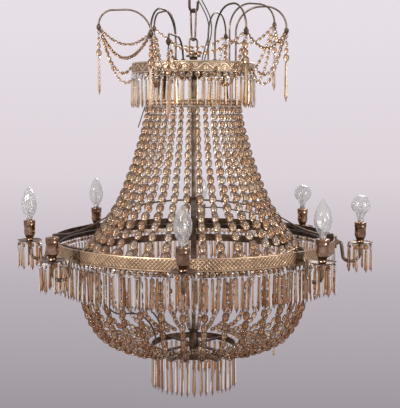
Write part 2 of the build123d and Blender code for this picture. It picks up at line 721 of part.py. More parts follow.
stones, drops = fringe(
    PAN_R - 3, BOBECHE_Z + 0.8, PAN_DROPS, PAN_DROP_WIDTH, PAN_DROP_LENGTH, 180 / PAN_DROPS
)
pendants = [upper + lower for upper, lower in zip(stones, drops)]
arm_pendants = []
for number in range(ARMS):
    for pendant in pendants:
        arm_pendants.append(turned(Pos(0, -LAMP_R, 0) * pendant, number * 360 / ARMS))
save(Compound(arm_pendants), "arm_pendants")

# --------------------------------------------------------------- wiring
tail_path = list(arm_path)
tail_path[0] = (0, -WIRE_RING_R, arm_z)
tail_path[-1] = (0, -LAMP_R, HOLDER_BOTTOM_Z - 1)
tail = bent_rod(tail_path, arm_bends, WIRE_R)
wire_ring = Pos(0, 0, arm_z) * turned(Torus(WIRE_RING_R, WIRE_R), FEED_AZIMUTH / ARMS)
wiring = wire_ring + ring_of(tail, ARMS)
feed_points = [
    (0, 0, stem_top_z - 10),
    (0, 0, OUTLET_Z),
    (0, -60, OUTLET_Z),
    (0, -186, OUTLET_Z - 22),
    (0, -240, OUTLET_Z - 50),
    (0, -282, OUTLET_Z - 66),
    (0, -WIRE_RING_R, arm_z),
]
feed = bent_rod(feed_points, [3, 40, 60, 60, 20], WIRE_R)
basket_leads = []
for route in BASKET_WIRES:
    path = Spline(*route)
    basket_leads.append(sweep(Plane(path @ 0, z_dir=path % 0) * Circle(BASKET_WIRE_R), path))
save(Compound([wiring + turned(feed, FEED_AZIMUTH)] + basket_leads), "arm_wiring")

# --------------------------------------------------------------- basket
hoop_hang = (0, -HOOP_R + HOOP_WALL / 2, HOOP_TOP_Z - HOOP_HEIGHT + 1)
lower_catch = (0, -LOWER_RING_R + LOWER_RING_WALL / 2, LOWER_RING_TOP_Z - 1)
basket_sizes = graded(BASKET_BEAD_UPPER, BASKET_BEAD_LOWER, BASKET_BEADS)
basket_line = front_points(BASKET_PROFILE)
basket_wires = [(hoop_hang, basket_line[0]), (basket_line[-1], lower_catch)]
basket_strand = bead_string(basket_line, basket_sizes, basket_wires)
print("basket strand solids", len(basket_strand.solids()))
stray = rod((0, 0, 0), (0, 0, -STRAY_LINK - 2), LINK_R)
stray += drop(-STRAY_LINK, STRAY_WIDTH, STRAY_LENGTH)
stray = Pos(0, -STRAY_R, STRAY_TOP_Z) * stray
basket = ring_of(basket_strand, BASKET_STRANDS, BASKET_START)
basket[STRAY_STRAND] = turned(basket_strand + stray, BASKET_START + 360 * STRAY_STRAND / BASKET_STRANDS)
save(Compound(basket), "basket_strands")

save(band(LOWER_RING_R, LOWER_RING_TOP_Z, LOWER_RING_HEIGHT, LOWER_RING_WALL), "lower_ring")
lower_hub = Pos(0, 0, LOWER_HUB_Z) * Cylinder(LOWER_HUB_R, LOWER_HUB_HEIGHT)
lower_end = LOWER_RING_R - LOWER_RING_WALL / 2
lower_spoke = Pos(0, -lower_end / 2, LOWER_SPOKE_Z) * Box(SPOKE_WIDTH, lower_end, SPIDER_THICK)
lower_spider = lower_hub + ring_of(lower_spoke, SPOKES, 45)
lower_spider -= Pos(0, 0, LOWER_HUB_Z) * Cylinder(STEM_R, LOWER_HUB_HEIGHT + 1)
save(lower_spider, "lower_spider")

lower_rim_z = LOWER_RING_TOP_Z - LOWER_RING_HEIGHT
hanger = Pos(0, 0, lower_rim_z - LOWER_LINK / 2) * Box(LINK_WIDTH, LINK_WIDTH, LOWER_LINK)
glass = drop(lower_rim_z - LOWER_LINK, LOWER_DROP_WIDTH, LOWER_DROP_LENGTH)
lower_drop = Pos(0, -LOWER_RING_R + LOWER_RING_WALL / 2, 0) * (hanger + glass)
save(Compound(ring_of(lower_drop, LOWER_DROPS, 180 / LOWER_DROPS)), "lower_prisms")

finial = lathe(
    (
        (STEM_R + 0.3, FINIAL_TOP_Z), (10, FINIAL_TOP_Z), (11, FINIAL_TOP_Z - 4), (7, FINIAL_TOP_Z - 8),
        (9, FINIAL_TOP_Z - 12), (4, FINIAL_TOP_Z - 18), (0, FINIAL_TOP_Z - 20),
        (0, STEM_BOTTOM_Z - 1), (STEM_R + 0.3, STEM_BOTTOM_Z - 1),
    )
)
save(finial, "finial_nut")

# ---------------------------------------------------------- supply leads
cord(LEAD_ROUTE_1, "supply_lead_1")
cord(LEAD_ROUTE_2, "supply_lead_2")
block_z = LEAD_ROUTE_1[-1][2] + BLOCK_SIZE[2] / 2 + LINK_PLAY
block_x = (LEAD_ROUTE_1[-1][0] + LEAD_ROUTE_2[-1][0]) / 2
block_y = (LEAD_ROUTE_1[-1][1] + LEAD_ROUTE_2[-1][1]) / 2
block = Box(*BLOCK_SIZE)
block = fillet(block.edges().filter_by(Axis.Z), 2)
save(Pos(block_x, block_y, block_z) * block, "terminal_block")
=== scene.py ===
import math
import random

import bpy
import numpy as np
from mathutils import Matrix, Vector


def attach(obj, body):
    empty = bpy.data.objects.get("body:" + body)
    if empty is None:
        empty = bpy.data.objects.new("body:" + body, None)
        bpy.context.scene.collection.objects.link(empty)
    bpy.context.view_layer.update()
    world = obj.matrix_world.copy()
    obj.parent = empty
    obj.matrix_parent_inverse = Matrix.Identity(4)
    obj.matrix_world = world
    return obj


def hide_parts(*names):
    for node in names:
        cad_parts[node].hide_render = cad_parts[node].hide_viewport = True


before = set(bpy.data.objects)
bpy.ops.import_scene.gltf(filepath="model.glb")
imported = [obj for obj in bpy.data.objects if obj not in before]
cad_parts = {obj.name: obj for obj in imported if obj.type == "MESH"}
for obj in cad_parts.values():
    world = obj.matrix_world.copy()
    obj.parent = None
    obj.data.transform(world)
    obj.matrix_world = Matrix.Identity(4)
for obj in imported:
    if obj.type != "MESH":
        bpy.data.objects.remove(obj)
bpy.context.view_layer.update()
MM = 0.001

# ------------------------------------------------------- sizes, millimetres
ARMS = 8
LAMP_R = 388.0
RING_R = 327.0
RING_TOP_Z = -592.0
RING_HEIGHT = 28.0
CROWN_R = 141.0
CROWN_TOP_Z = -195.0
CROWN_HEIGHT = 24.0
TENT_RING_R = 112.0
TENT_RING_TOP_Z = -277.0
TENT_RING_HEIGHT = 17.0
BAND_WALL = 1.2
OCTAGON_R = 6.5
OCTAGON_THICK = 4.0
STONE_DROP = OCTAGON_R * math.cos(math.pi / 8)
TENT_STRANDS = 36
TENT_START = 8.0
TENT_BEADS = 18
TENT_SMALL = (11.5, 14.5)
TENT_LARGE = (20.0, 24.0)
TENT_PROFILE = (
    (107, -294), (108, -308), (113, -336), (123, -371), (136, -418),
    (154, -465), (173, -512), (195, -548), (220, -586), (244, -617),
)
BASKET_STRANDS = 36
BASKET_START = 8.0
BASKET_BEADS = 15
BASKET_UPPER = (17.0, 22.0)
BASKET_LOWER = (13.0, 17.0)
BASKET_PROFILE = (
    (266, -652), (264, -700), (258, -746), (247, -780), (231, -808),
    (208, -830), (176, -841), (140, -844), (106, -844),
)
STRAY_STRAND = 7
STRAY_R = 192.0
STRAY_TOP_Z = -836.0
STRAY_LINK = 12.0
STRAY_WIDTH = 8.0
STRAY_LENGTH = 21.6
HOOP_R = 262.0
HOOP_TOP_Z = -626.0
HOOP_HEIGHT = 18.0
LOWER_RING_R = 100.0
LOWER_RING_TOP_Z = -850.0
LOWER_RING_HEIGHT = 14.0
LOWER_LINK = 4.0
HANGER_INSET = 1.5
FRINGE_INSET = 0.6
SWAG_BEAD = (8.5, 12.0)
SWAG_PITCH = 14.0
SWAG_SAG = 0.2
CROWN_SWAGS = ((12.0, -201.0, 52.0), (-9.0, -207.0, 72.0))
SWAG_MIN_SPAN = 80.0
SWAG_STEPS = 20
PLUME_SHAPES = (
    (31.5, -78, 228, -135),
    (79, -71, 214, -121),
    (124, -49, 229, -92),
    (162, -63, 229, -111),
    (-151.5, -60, 229, -92),
    (-101, -69, 229, -103),
    (-20, -90, 224, -141),
    (-10, -146, 226, -158),
)
BUD_R = 5.0
BUD_LENGTH = 14.0
EYE_R = 3.0
EYE_WIRE_R = 0.7
LINK_R = 0.6
LINK_PLAY = 0.3
STRING_R = 0.45
PIN_R = 0.4
PENDANT_BEADS = ((8.0, 14.0), (9.0, 14.0), (13.0, 18.0))
PENDANT_WIDTH = 11.0
PENDANT_LENGTH = 90.0
RING_FRINGE = (168, 9.5, 74.0)
CROWN_FRINGE = (56, 8.5, 66.0)
LOWER_FRINGE = (44, 9.5, 86.0)
PAN_FRINGE = (8, 8.5, 54.0)
PAN_FRINGE_R = 27.0
BOBECHE_Z = -610.0
HOLDER_BOTTOM_Z = -597.0
HOLDER_TOP_Z = -559.0
CANDLE_LENGTH = 80.0
GLOBE_R = 22.5
GLOBE_RISE = 40.0
LAMP_WALL = 0.7
LAMP_SIDES = 40
BULB_ARMS = (1, 2, 5, 7, 6, 3, 4)
TWISTED_ARMS = (1, 2, 5, 6, 7)
GLOBE_ARMS = (3, 4)
EMPTY_ARM = 8
LEAD_R = 1.4
LEAD_ROUTES = (
    (
        (18, -4, -212), (18.5, -3, -188), (27, 3, -158), (36, 12, -126),
        (33, 25, -93), (19, 38, -64), (6, 45, -41), (4, 46, -26),
    ),
    (
        (24, -6, -212), (24.5, -5, -188), (33, 1, -160), (42, 9, -127),
        (40, 22, -92), (26, 37, -62), (13, 45, -40), (12, 46, -26),
    ),
)

# ------------------------------------------------------------------- camera
CAMERA_AZIMUTH = 3.0
CAMERA_DISTANCE = 1.9975
CAMERA_HEIGHT = -0.3055
FOCAL_PX = 860.0
IMAGE_WIDTH = 400
IMAGE_HEIGHT = 408
HORIZON_PX = 112.0
AXIS_PX = 193.5

pitch = math.atan((IMAGE_HEIGHT / 2 - HORIZON_PX) / FOCAL_PX)
yaw = math.atan((IMAGE_WIDTH / 2 - AXIS_PX) / FOCAL_PX)
around = math.radians(CAMERA_AZIMUTH)
camera_data = bpy.data.cameras.new("camera")
camera_data.lens = 36 * FOCAL_PX / IMAGE_HEIGHT
camera = bpy.data.objects.new("camera", camera_data)
camera.location = (
    CAMERA_DISTANCE * math.sin(around), -CAMERA_DISTANCE * math.cos(around), CAMERA_HEIGHT
)
camera.rotation_euler = (math.pi / 2 - pitch, 0, around - yaw)
bpy.context.scene.collection.objects.link(camera)
bpy.context.scene.camera = camera
bpy.context.scene.view_settings.view_transform = "Standard"

# ------------------------------------------------------------ supply leads
sheath = bpy.data.materials.new("lead_sheath")
for number, route in enumerate(LEAD_ROUTES, 1):
    curve = bpy.data.curves.new(f"supply_wire_{number}", "CURVE")
    curve.dimensions = "3D"
    curve.bevel_depth = LEAD_R * MM
    curve.bevel_resolution = 4
    curve.resolution_u = 8
    spline = curve.splines.new("NURBS")
    spline.points.add(len(route) - 1)
    for point, place in zip(spline.points, route):
        point.co = (*(Vector(place) * MM), 1)
    spline.order_u = 3
    spline.use_endpoint_u = True
    curve.materials.append(sheath)
    lead = bpy.data.objects.new(f"supply_wire_{number}", curve)
    bpy.context.scene.collection.objects.link(lead)
    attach(lead, "frame")
    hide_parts(f"supply_lead_{number}")


# ---------------------------------------------------------------- materials
def new_material(name, made=None):
    """Material, new or made before, with its node tree and its principled shader."""
    material = made or bpy.data.materials.new(name)
    material.use_nodes = True
    tree = material.node_tree
    shader = next(n for n in tree.nodes if n.type == "BSDF_PRINCIPLED")
    return material, tree, shader


def add_node(tree, kind, **inputs):
    """Node of a kind with some of its inputs set."""
    node = tree.nodes.new(kind)
    for key, value in inputs.items():
        node.inputs[key.replace("_", " ")].default_value = value
    return node


def maths(tree, operation, *values):
    """Result of an operation on numbers and on other nodes' outputs."""
    node = tree.nodes.new("ShaderNodeMath")
    node.operation = operation
    for socket, value in zip(node.inputs, values):
        if isinstance(value, float):
            socket.default_value = value
        else:
            tree.links.new(value, socket)
    return node.outputs[0]


def object_noise(tree, scale, detail):
    """Noise in the object's own space."""
    coords = tree.nodes.new("ShaderNodeTexCoord")
    noise = add_node(tree, "ShaderNodeTexNoise", Scale=scale, Detail=detail)
    tree.links.new(coords.outputs["Object"], noise.inputs["Vector"])
    return noise.outputs["Fac"]


def mesh_value(tree, name):
    """Value that a mesh carries on its points."""
    node = tree.nodes.new("ShaderNodeAttribute")
    node.attribute_name = name
    return node.outputs["Fac"]


def colour_ramp(tree, source, stops):
    """Colours between stops, picked by another node's value."""
    ramp = tree.nodes.new("ShaderNodeValToRGB")
    elements = ramp.color_ramp.elements
    while len(elements) < len(stops):
        elements.new(0.5)
    for element, (place, colour) in zip(elements, stops):
        element.position = place
        element.color = (*colour, 1)
    tree.links.new(source, ramp.inputs["Fac"])
    return ramp.outputs["Color"]


def add_patches(tree, shader, scale, stops):
    """Colour that changes in patches over the surface."""
    colour = colour_ramp(tree, object_noise(tree, scale, 6.0), stops)
    tree.links.new(colour, shader.inputs["Base Color"])


def add_bump(tree, shader, scale, strength):
    """Fine unevenness of a surface."""
    bump = add_node(tree, "ShaderNodeBump", Strength=strength, Distance=0.0005)
    tree.links.new(object_noise(tree, scale, 4.0), bump.inputs["Height"])
    tree.links.new(bump.outputs["Normal"], shader.inputs["Normal"])


def add_roughness(tree, shader, scale, low, high):
    """Roughness that changes between two values over the surface."""
    span = add_node(tree, "ShaderNodeMapRange", From_Min=0.3, From_Max=0.7, To_Min=low, To_Max=high)
    tree.links.new(object_noise(tree, scale, 5.0), span.inputs["Value"])
    tree.links.new(span.outputs["Result"], shader.inputs["Roughness"])


def metal(name, stops, low, high, scale=60.0, bump=0.25):
    """Aged metal: patina in patches, worn shine and a fine grain."""
    material, tree, shader = new_material(name)
    shader.inputs["Metallic"].default_value = 1.0
    add_patches(tree, shader, scale, stops)
    add_roughness(tree, shader, scale * 1.7, low, high)
    add_bump(tree, shader, 900.0, bump)
    return material


def relief_metal(name, deep, middle, high_tone, low, high):
    """Embossed gilt: dirt in the hollows, bright metal on the raised work."""
    material, tree, shader = new_material(name)
    shader.inputs["Metallic"].default_value = 1.0
    dirt = maths(tree, "MULTIPLY", object_noise(tree, 35.0, 6.0), 0.4)
    worn = maths(tree, "MULTIPLY_ADD", mesh_value(tree, "relief"), 0.75, dirt)
    colour = colour_ramp(tree, worn, ((0.2, deep), (0.5, middle), (0.95, high_tone)))
    tree.links.new(colour, shader.inputs["Base Color"])
    add_roughness(tree, shader, 80.0, low, high)
    add_bump(tree, shader, 1200.0, 0.2)
    return material


def tinted(tree, first, second, share):
    """One colour multiplied by another, by a share."""
    mix = tree.nodes.new("ShaderNodeMixRGB")
    mix.blend_type = "MULTIPLY"
    mix.inputs["Fac"].default_value = share
    tree.links.new(first, mix.inputs["Color1"])
    tree.links.new(second, mix.inputs["Color2"])
    return mix.outputs["Color"]


GLASS_SHEEN = (0.8, 0.66, 0.54, 1)
GLASS_HAZE = ((0.35, (0.72, 0.66, 0.6)), (0.6, (1, 1, 1)))


def cut_glass(name, stops, painted_rim_shade_stops, roughness, transmission, tip_stops=None):
    """Cut glass: its tint differs from stone to stone, and painted shade darkens it where the glass turns
    away.
    """
    material, tree, shader = new_material(name)
    geometry = tree.nodes.new("ShaderNodeNewGeometry")
    tint = colour_ramp(tree, geometry.outputs["Random Per Island"], stops)
    haze = colour_ramp(tree, object_noise(tree, 140.0, 3.0), GLASS_HAZE)
    turned_away = add_node(tree, "ShaderNodeLayerWeight", Blend=0.4)
    # painted shade: this ramp darkens the glass towards its rims, where it turns away
    rim = colour_ramp(tree, turned_away.outputs["Facing"], painted_rim_shade_stops)
    colour = tinted(tree, tinted(tree, tint, haze, 0.5), rim, 1.0)
    if tip_stops:
        colour = tinted(tree, colour, colour_ramp(tree, mesh_value(tree, "tip"), tip_stops), 1.0)
    tree.links.new(colour, shader.inputs["Base Color"])
    shader.inputs["Transmission Weight"].default_value = transmission
    shader.inputs["IOR"].default_value = 1.52
    shader.inputs["Specular Tint"].default_value = GLASS_SHEEN
    add_roughness(tree, shader, 90.0, roughness, roughness + 0.08)
    add_bump(tree, shader, 350.0, 0.1)
    return material


iron = metal(
    "black_iron",
    ((0.3, (0.045, 0.028, 0.02)), (0.55, (0.12, 0.075, 0.052)), (0.75, (0.25, 0.16, 0.11))),
    0.35, 0.65,
)
bronze = metal(
    "dark_bronze",
    ((0.3, (0.07, 0.05, 0.038)), (0.55, (0.17, 0.125, 0.09)), (0.8, (0.36, 0.27, 0.19))),
    0.25, 0.5,
)
brown_brass = metal(
    "brown_brass",
    ((0.3, (0.09, 0.06, 0.04)), (0.55, (0.2, 0.14, 0.095)), (0.8, (0.42, 0.3, 0.19))),
    0.28, 0.5,
)
coppery = metal(
    "coppery_holder",
    ((0.3, (0.1, 0.052, 0.034)), (0.52, (0.3, 0.18, 0.12)), (0.75, (0.62, 0.43, 0.32))),
    0.12, 0.26, scale=50.0, bump=0.08,
)
nickel = metal(
    "lamp_cap_metal", ((0.35, (0.5, 0.48, 0.45)), (0.7, (0.8, 0.78, 0.74))), 0.2, 0.4, scale=120.0
)
wire_metal = metal(
    "link_wire", ((0.3, (0.18, 0.12, 0.08)), (0.7, (0.5, 0.38, 0.25))), 0.3, 0.5, scale=200.0
)
main_gilt = relief_metal(
    "main_ring_gilt", (0.06, 0.034, 0.02), (0.36, 0.23, 0.14), (0.86, 0.64, 0.44), 0.3, 0.52
)
crown_gilt = relief_metal(
    "crown_gilt", (0.16, 0.1, 0.06), (0.55, 0.4, 0.27), (0.95, 0.8, 0.62), 0.25, 0.5
)
# Painted shade on the glass, by how far it turns away: near white where it faces the camera, dark brown to
# near black at the rims.
BEAD_PAINTED_RIM_SHADE = (
    (0.0, (1.0, 0.99, 0.97)), (0.2, (1.0, 0.93, 0.84)), (0.33, (0.42, 0.24, 0.13)),
    (0.46, (0.05, 0.02, 0.01)),
)
DARK_PAINTED_RIM_SHADE = (
    (0.0, (1.0, 0.98, 0.94)), (0.16, (0.94, 0.85, 0.74)), (0.28, (0.32, 0.17, 0.09)),
    (0.4, (0.03, 0.012, 0.006)),
)
PRISM_PAINTED_RIM_SHADE = (
    (0.0, (1.0, 0.99, 0.96)), (0.16, (0.94, 0.86, 0.76)), (0.32, (0.32, 0.17, 0.085)),
    (0.55, (0.05, 0.02, 0.01)),
)
# Drop colour by how far down the drop a point lies: darker at the top and at the point, palest between.
DROP_END_TONES = (
    (0.0, (0.55, 0.42, 0.32)), (0.15, (1.0, 0.97, 0.92)), (0.7, (1.0, 0.9, 0.76)), (1.0, (0.64, 0.33, 0.13)),
)
tent_glass = cut_glass(
    "champagne_beads",
    ((0.0, (0.84, 0.6, 0.41)), (0.35, (0.96, 0.79, 0.61)), (0.7, (1.0, 0.89, 0.73)), (1.0, (1.0, 0.97, 0.9))),
    BEAD_PAINTED_RIM_SHADE, 0.02, 0.95,
)
basket_glass = cut_glass(
    "smoky_beads",
    ((0.0, (0.6, 0.35, 0.2)), (0.4, (0.84, 0.6, 0.41)), (0.8, (0.97, 0.8, 0.62)), (1.0, (1.0, 0.94, 0.84))),
    DARK_PAINTED_RIM_SHADE, 0.03, 0.94,
)
prism_glass = cut_glass(
    "smoky_prisms",
    (
        (0.0, (0.56, 0.33, 0.18)), (0.3, (0.77, 0.56, 0.38)), (0.65, (0.9, 0.74, 0.57)),
        (1.0, (1.0, 0.93, 0.84)),
    ),
    PRISM_PAINTED_RIM_SHADE, 0.02, 0.93, tip_stops=DROP_END_TONES,
)
amber_glass = cut_glass(
    "amber_drops",
    ((0.0, (0.56, 0.27, 0.1)), (0.4, (0.78, 0.47, 0.24)), (0.8, (0.92, 0.68, 0.44)), (1.0, (1.0, 0.87, 0.7))),
    PRISM_PAINTED_RIM_SHADE, 0.02, 0.93, tip_stops=DROP_END_TONES,
)
crown_glass = cut_glass(
    "crown_prisms_glass",
    ((0.0, (0.78, 0.54, 0.32)), (0.4, (0.95, 0.78, 0.57)), (0.8, (1.0, 0.9, 0.75)), (1.0, (1.0, 0.98, 0.92))),
    PRISM_PAINTED_RIM_SHADE, 0.02, 0.9, tip_stops=DROP_END_TONES,
)
string_glass = cut_glass(
    "swag_beads_glass",
    ((0.0, (0.54, 0.32, 0.18)), (0.4, (0.8, 0.58, 0.4)), (0.8, (0.94, 0.78, 0.61)), (1.0, (1.0, 0.94, 0.84))),
    BEAD_PAINTED_RIM_SHADE, 0.02, 0.92,
)


def plain_material(name, stops, roughness, made=None):
    """Sheath or moulded surface with slight mottling."""
    material, tree, shader = new_material(name, made)
    add_patches(tree, shader, 80.0, stops)
    add_roughness(tree, shader, 80.0, roughness, roughness + 0.15)
    add_bump(tree, shader, 600.0, 0.2)
    return material


plain_material(
    "lead_sheath", ((0.3, (0.035, 0.03, 0.028)), (0.7, (0.1, 0.085, 0.075))), 0.45, made=sheath
)
connector = plain_material("connector", ((0.3, (0.66, 0.64, 0.58)), (0.7, (0.8, 0.78, 0.72))), 0.35)
porcelain = plain_material("porcelain", ((0.3, (0.62, 0.58, 0.5)), (0.7, (0.82, 0.79, 0.72))), 0.2)


def bulb_glass_material():
    """Clear thin lamp glass with a trace of dust."""
    material, tree, shader = new_material("lamp_glass")
    add_patches(tree, shader, 60.0, ((0.35, (0.9, 0.89, 0.88)), (0.7, (0.99, 0.99, 0.99))))
    shader.inputs["Transmission Weight"].default_value = 0.88
    shader.inputs["IOR"].default_value = 1.45
    add_roughness(tree, shader, 40.0, 0.0, 0.04)
    return material


lamp_glass = bulb_glass_material()


# ------------------------------------------------------------- mesh helpers
def mesh_object(name, verts, faces, material, slot, body="frame", smooth=False):
    """Mesh in millimetres as an object that rides on a body."""
    mesh = bpy.data.meshes.new(name)
    mesh.from_pydata((np.asarray(verts, float) * MM).tolist(), [], [list(f) for f in faces])
    mesh.materials.append(material)
    mesh.validate()
    if smooth:
        mesh.polygons.foreach_set("use_smooth", [True] * len(mesh.polygons))
        mesh.set_sharp_from_angle(angle=math.radians(40))
    item = bpy.data.objects.new(name, mesh)
    bpy.context.scene.collection.objects.link(item)
    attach(item, body)
    return item


def merged(shapes):
    """Several (verts, faces) shapes as one."""
    verts = []
    faces = []
    start = 0
    for shape_verts, shape_faces in shapes:
        verts.append(np.asarray(shape_verts, float))
        faces.extend([tuple(i + start for i in face) for face in shape_faces])
        start += len(shape_verts)
    return np.concatenate(verts), faces


def moved(shape, matrix):
    """A shape put through a 4 by 4 matrix."""
    verts, faces = shape
    m = np.array(matrix)
    return np.asarray(verts, float) @ m[:3, :3].T + m[:3, 3], faces


def turn_z(azimuth):
    """Turn about the lamp's axis, in degrees."""
    return Matrix.Rotation(math.radians(azimuth), 4, "Z")


def at_arm(arm):
    """Axis of an arm's lamp; the arms are counted from 1 at the front."""
    return turn_z((arm - 1) * 360 / ARMS) @ Matrix.Translation((0, -LAMP_R, 0))


def polar(radius, azimuth, z):
    """Point at an azimuth counted from the front towards the right."""
    turn = math.radians(azimuth)
    return Vector((radius * math.sin(turn), -radius * math.cos(turn), z))


def along(point, direction, spin=0.0):
    """Matrix that stands a shape's Z axis along a direction at a point."""
    turn = Vector(direction).to_track_quat("Z", "Y").to_matrix().to_4x4()
    return Matrix.Translation(point) @ turn @ Matrix.Rotation(spin, 4, "Z")


def circle(count, start=0.0):
    """Cosine and sine of points spaced evenly round a circle."""
    angles = [start + 2 * math.pi * i / count for i in range(count)]
    return [(math.cos(angle), math.sin(angle)) for angle in angles]


def loft_rings(rings):
    """Closed skin over rings of equal numbers of points."""
    count = len(rings[0])
    verts = np.concatenate([np.asarray(ring, float) for ring in rings])
    faces = []
    for k in range(len(rings) - 1):
        for i in range(count):
            j = (i + 1) % count
            faces.append((k * count + i, k * count + j, (k + 1) * count + j, (k + 1) * count + i))
    faces.append(tuple(reversed(range(count))))
    faces.append(tuple((len(rings) - 1) * count + i for i in range(count)))
    return verts, faces


def lathe(profile, steps, wave=None):
    """Surface turned about Z from (radius, z) pairs; wave may change a radius."""
    rings = []
    for r, z in profile:
        ring = []
        for i in range(steps):
            angle = 2 * math.pi * i / steps
            radius = r if wave is None else wave(r, angle, z)
            ring.append((radius * math.cos(angle), radius * math.sin(angle), z))
        rings.append(ring)
    return loft_rings(rings)


def tube(points, radius, sides):
    """Round wire through points."""
    points = [Vector(p) for p in points]
    rings = []
    for k, point in enumerate(points):
        before = points[max(k - 1, 0)]
        after = points[min(k + 1, len(points) - 1)]
        place = along(point, after - before)
        rings.append([tuple(place @ Vector((radius * c, radius * s, 0))) for c, s in circle(sides)])
    return loft_rings(rings)


def torus(radius, wire, steps=20, sides=8):
    """Ring of wire in the XY plane."""
    verts = []
    faces = []
    for i in range(steps):
        a = 2 * math.pi * i / steps
        for k in range(sides):
            b = 2 * math.pi * k / sides
            r = radius + wire * math.cos(b)
            verts.append((r * math.cos(a), r * math.sin(a), wire * math.sin(b)))
            i2, k2 = (i + 1) % steps, (k + 1) % sides
            faces.append((i * sides + k, i2 * sides + k, i2 * sides + k2, i * sides + k2))
    return np.array(verts), faces


# ---------------------------------------------------------------- cut glass
BEAD_SIDES = 12
BEAD_ROWS = (
    (-1.0, 0.16), (-0.93, 0.42), (-0.72, 0.75), (-0.4, 0.95), (0.0, 1.0),
    (0.4, 0.95), (0.72, 0.75), (0.93, 0.42), (1.0, 0.16),
)
STONE_ROWS = ((0.55, -0.5), (0.97, -0.12), (0.97, 0.12), (0.55, 0.5))
STONE_POINTS = 8 * len(STONE_ROWS)
STONE_TIP = 0.3
DROP_SIDES = 6
DROP_ROWS = ((0.0, 0.42), (0.03, 0.68), (0.5, 0.84), (0.86, 1.0), (1.0, 0.08))
DROP_TIPS = np.repeat((0.0, 0.05, 0.5, 0.86, 1.0), DROP_SIDES)


def oval_bead(width, length):
    """Smooth oval bead along Z, a little flattened at its ends."""
    rings = []
    for height, share in BEAD_ROWS:
        radius = width / 2 * share
        rings.append([(radius * c, radius * s, length / 2 * height) for c, s in circle(BEAD_SIDES)])
    return loft_rings(rings)


def cut_octagon():
    """Octagon stone in the XZ plane with a table on each face."""
    rings = []
    for share, y in STONE_ROWS:
        radius = OCTAGON_R * share
        rings.append([(radius * c, y * OCTAGON_THICK, radius * s) for c, s in circle(8, math.pi / 8)])
    return loft_rings(rings)


def cut_drop(width, length):
    """Long prism of six sides that hangs from its top, widest low down and pointed."""
    rings = []
    for share, wide in DROP_ROWS:
        across = width / 2 * wide
        deep = width * 0.4 * wide
        rings.append([(across * c, deep * s, -share * length) for c, s in circle(DROP_SIDES)])
    return loft_rings(rings)


def mark_tips(item, stones, drops):
    """How far down its drop each point lies, after the points of the stones."""
    values = np.concatenate([np.full(stones * STONE_POINTS, STONE_TIP), np.tile(DROP_TIPS, drops)])
    attribute = item.data.attributes.new("tip", "FLOAT", "POINT")
    attribute.data.foreach_set("value", values.astype(np.float32))


def walk(profile, shares):
    """Points at the given shares of a polyline's length."""
    runs = [(Vector(b) - Vector(a)).length for a, b in zip(profile, profile[1:])]
    points = []
    for share in shares:
        left = share * sum(runs)
        leg = 0
        while left > runs[leg] and leg < len(runs) - 1:
            left -= runs[leg]
            leg += 1
        start = Vector(profile[leg])
        points.append(start + (Vector(profile[leg + 1]) - start) * (left / runs[leg]))
    return points


def graded(small, large, count):
    """Bead sizes that grow evenly from small to large."""
    steps = [i / (count - 1) for i in range(count)]
    return [tuple(a + (b - a) * step for a, b in zip(small, large)) for step in steps]


def knots_of(profile, sizes):
    """Places between the beads of a string."""
    weight = sum(length for _, length in sizes)
    shares = [0.0]
    for _, length in sizes:
        shares.append(min(shares[-1] + length / weight, 1.0))
    return walk(profile, shares)


def bead_string(profile, sizes, draw, loose=0.6, tight=0.94):
    """Beads and wire of one string, with a little unevenness."""
    knots = knots_of(profile, sizes)
    glass = []
    wire = []
    for a, b, (width, _) in zip(knots, knots[1:], sizes):
        run = b - a
        middle = (a + b) / 2 + Vector([draw.uniform(-loose, loose) for _ in range(3)])
        lean = run.normalized() + Vector([draw.uniform(-0.07, 0.07) for _ in range(3)])
        size = width * draw.uniform(0.84, 0.94)
        bead = oval_bead(size, run.length * tight)
        glass.append(moved(bead, along(middle, lean, draw.uniform(0, math.pi))))
    wire.append(tube(knots, STRING_R, 5))
    return glass, wire


def smooth_profile(profile, steps=6):
    """Radius and height pairs with a smooth curve drawn through them."""
    pts = [Vector((0, -r, z)) for r, z in profile]
    pts = [pts[0] * 2 - pts[1], *pts, pts[-1] * 2 - pts[-2]]
    line = []
    for p0, p1, p2, p3 in zip(pts, pts[1:], pts[2:], pts[3:]):
        for i in range(steps):
            t = i / steps
            line.append(
                0.5 * (2 * p1 + (p2 - p0) * t + (2 * p0 - 5 * p1 + 4 * p2 - p3) * t * t
                       + (3 * p1 - p0 - 3 * p2 + p3) * t * t * t)
            )
    line.append(pts[-2])
    return line


def strands(name, node, profile, sizes, azimuths, material, slot, seed, hangers, extra_glass=()):
    """A wall of bead strings round the axis, as glass and as wire."""
    draw = random.Random(seed)
    glass = []
    wire = []
    for azimuth in azimuths:
        turn = turn_z(azimuth + draw.uniform(-0.35, 0.35))
        beads, line = bead_string(profile, sizes, draw)
        glass += [moved(bead, turn) for bead in beads]
        wire += [moved(part, turn) for part in line]
        wire += [moved(tube(ends, LINK_R, 6), turn_z(azimuth)) for ends in hangers]
    glass += extra_glass
    item = mesh_object(name, *merged(glass), material, smooth=True, slot=slot)
    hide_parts(node)
    mesh_object(name + "_wire", *merged(wire), wire_metal, slot=slot)


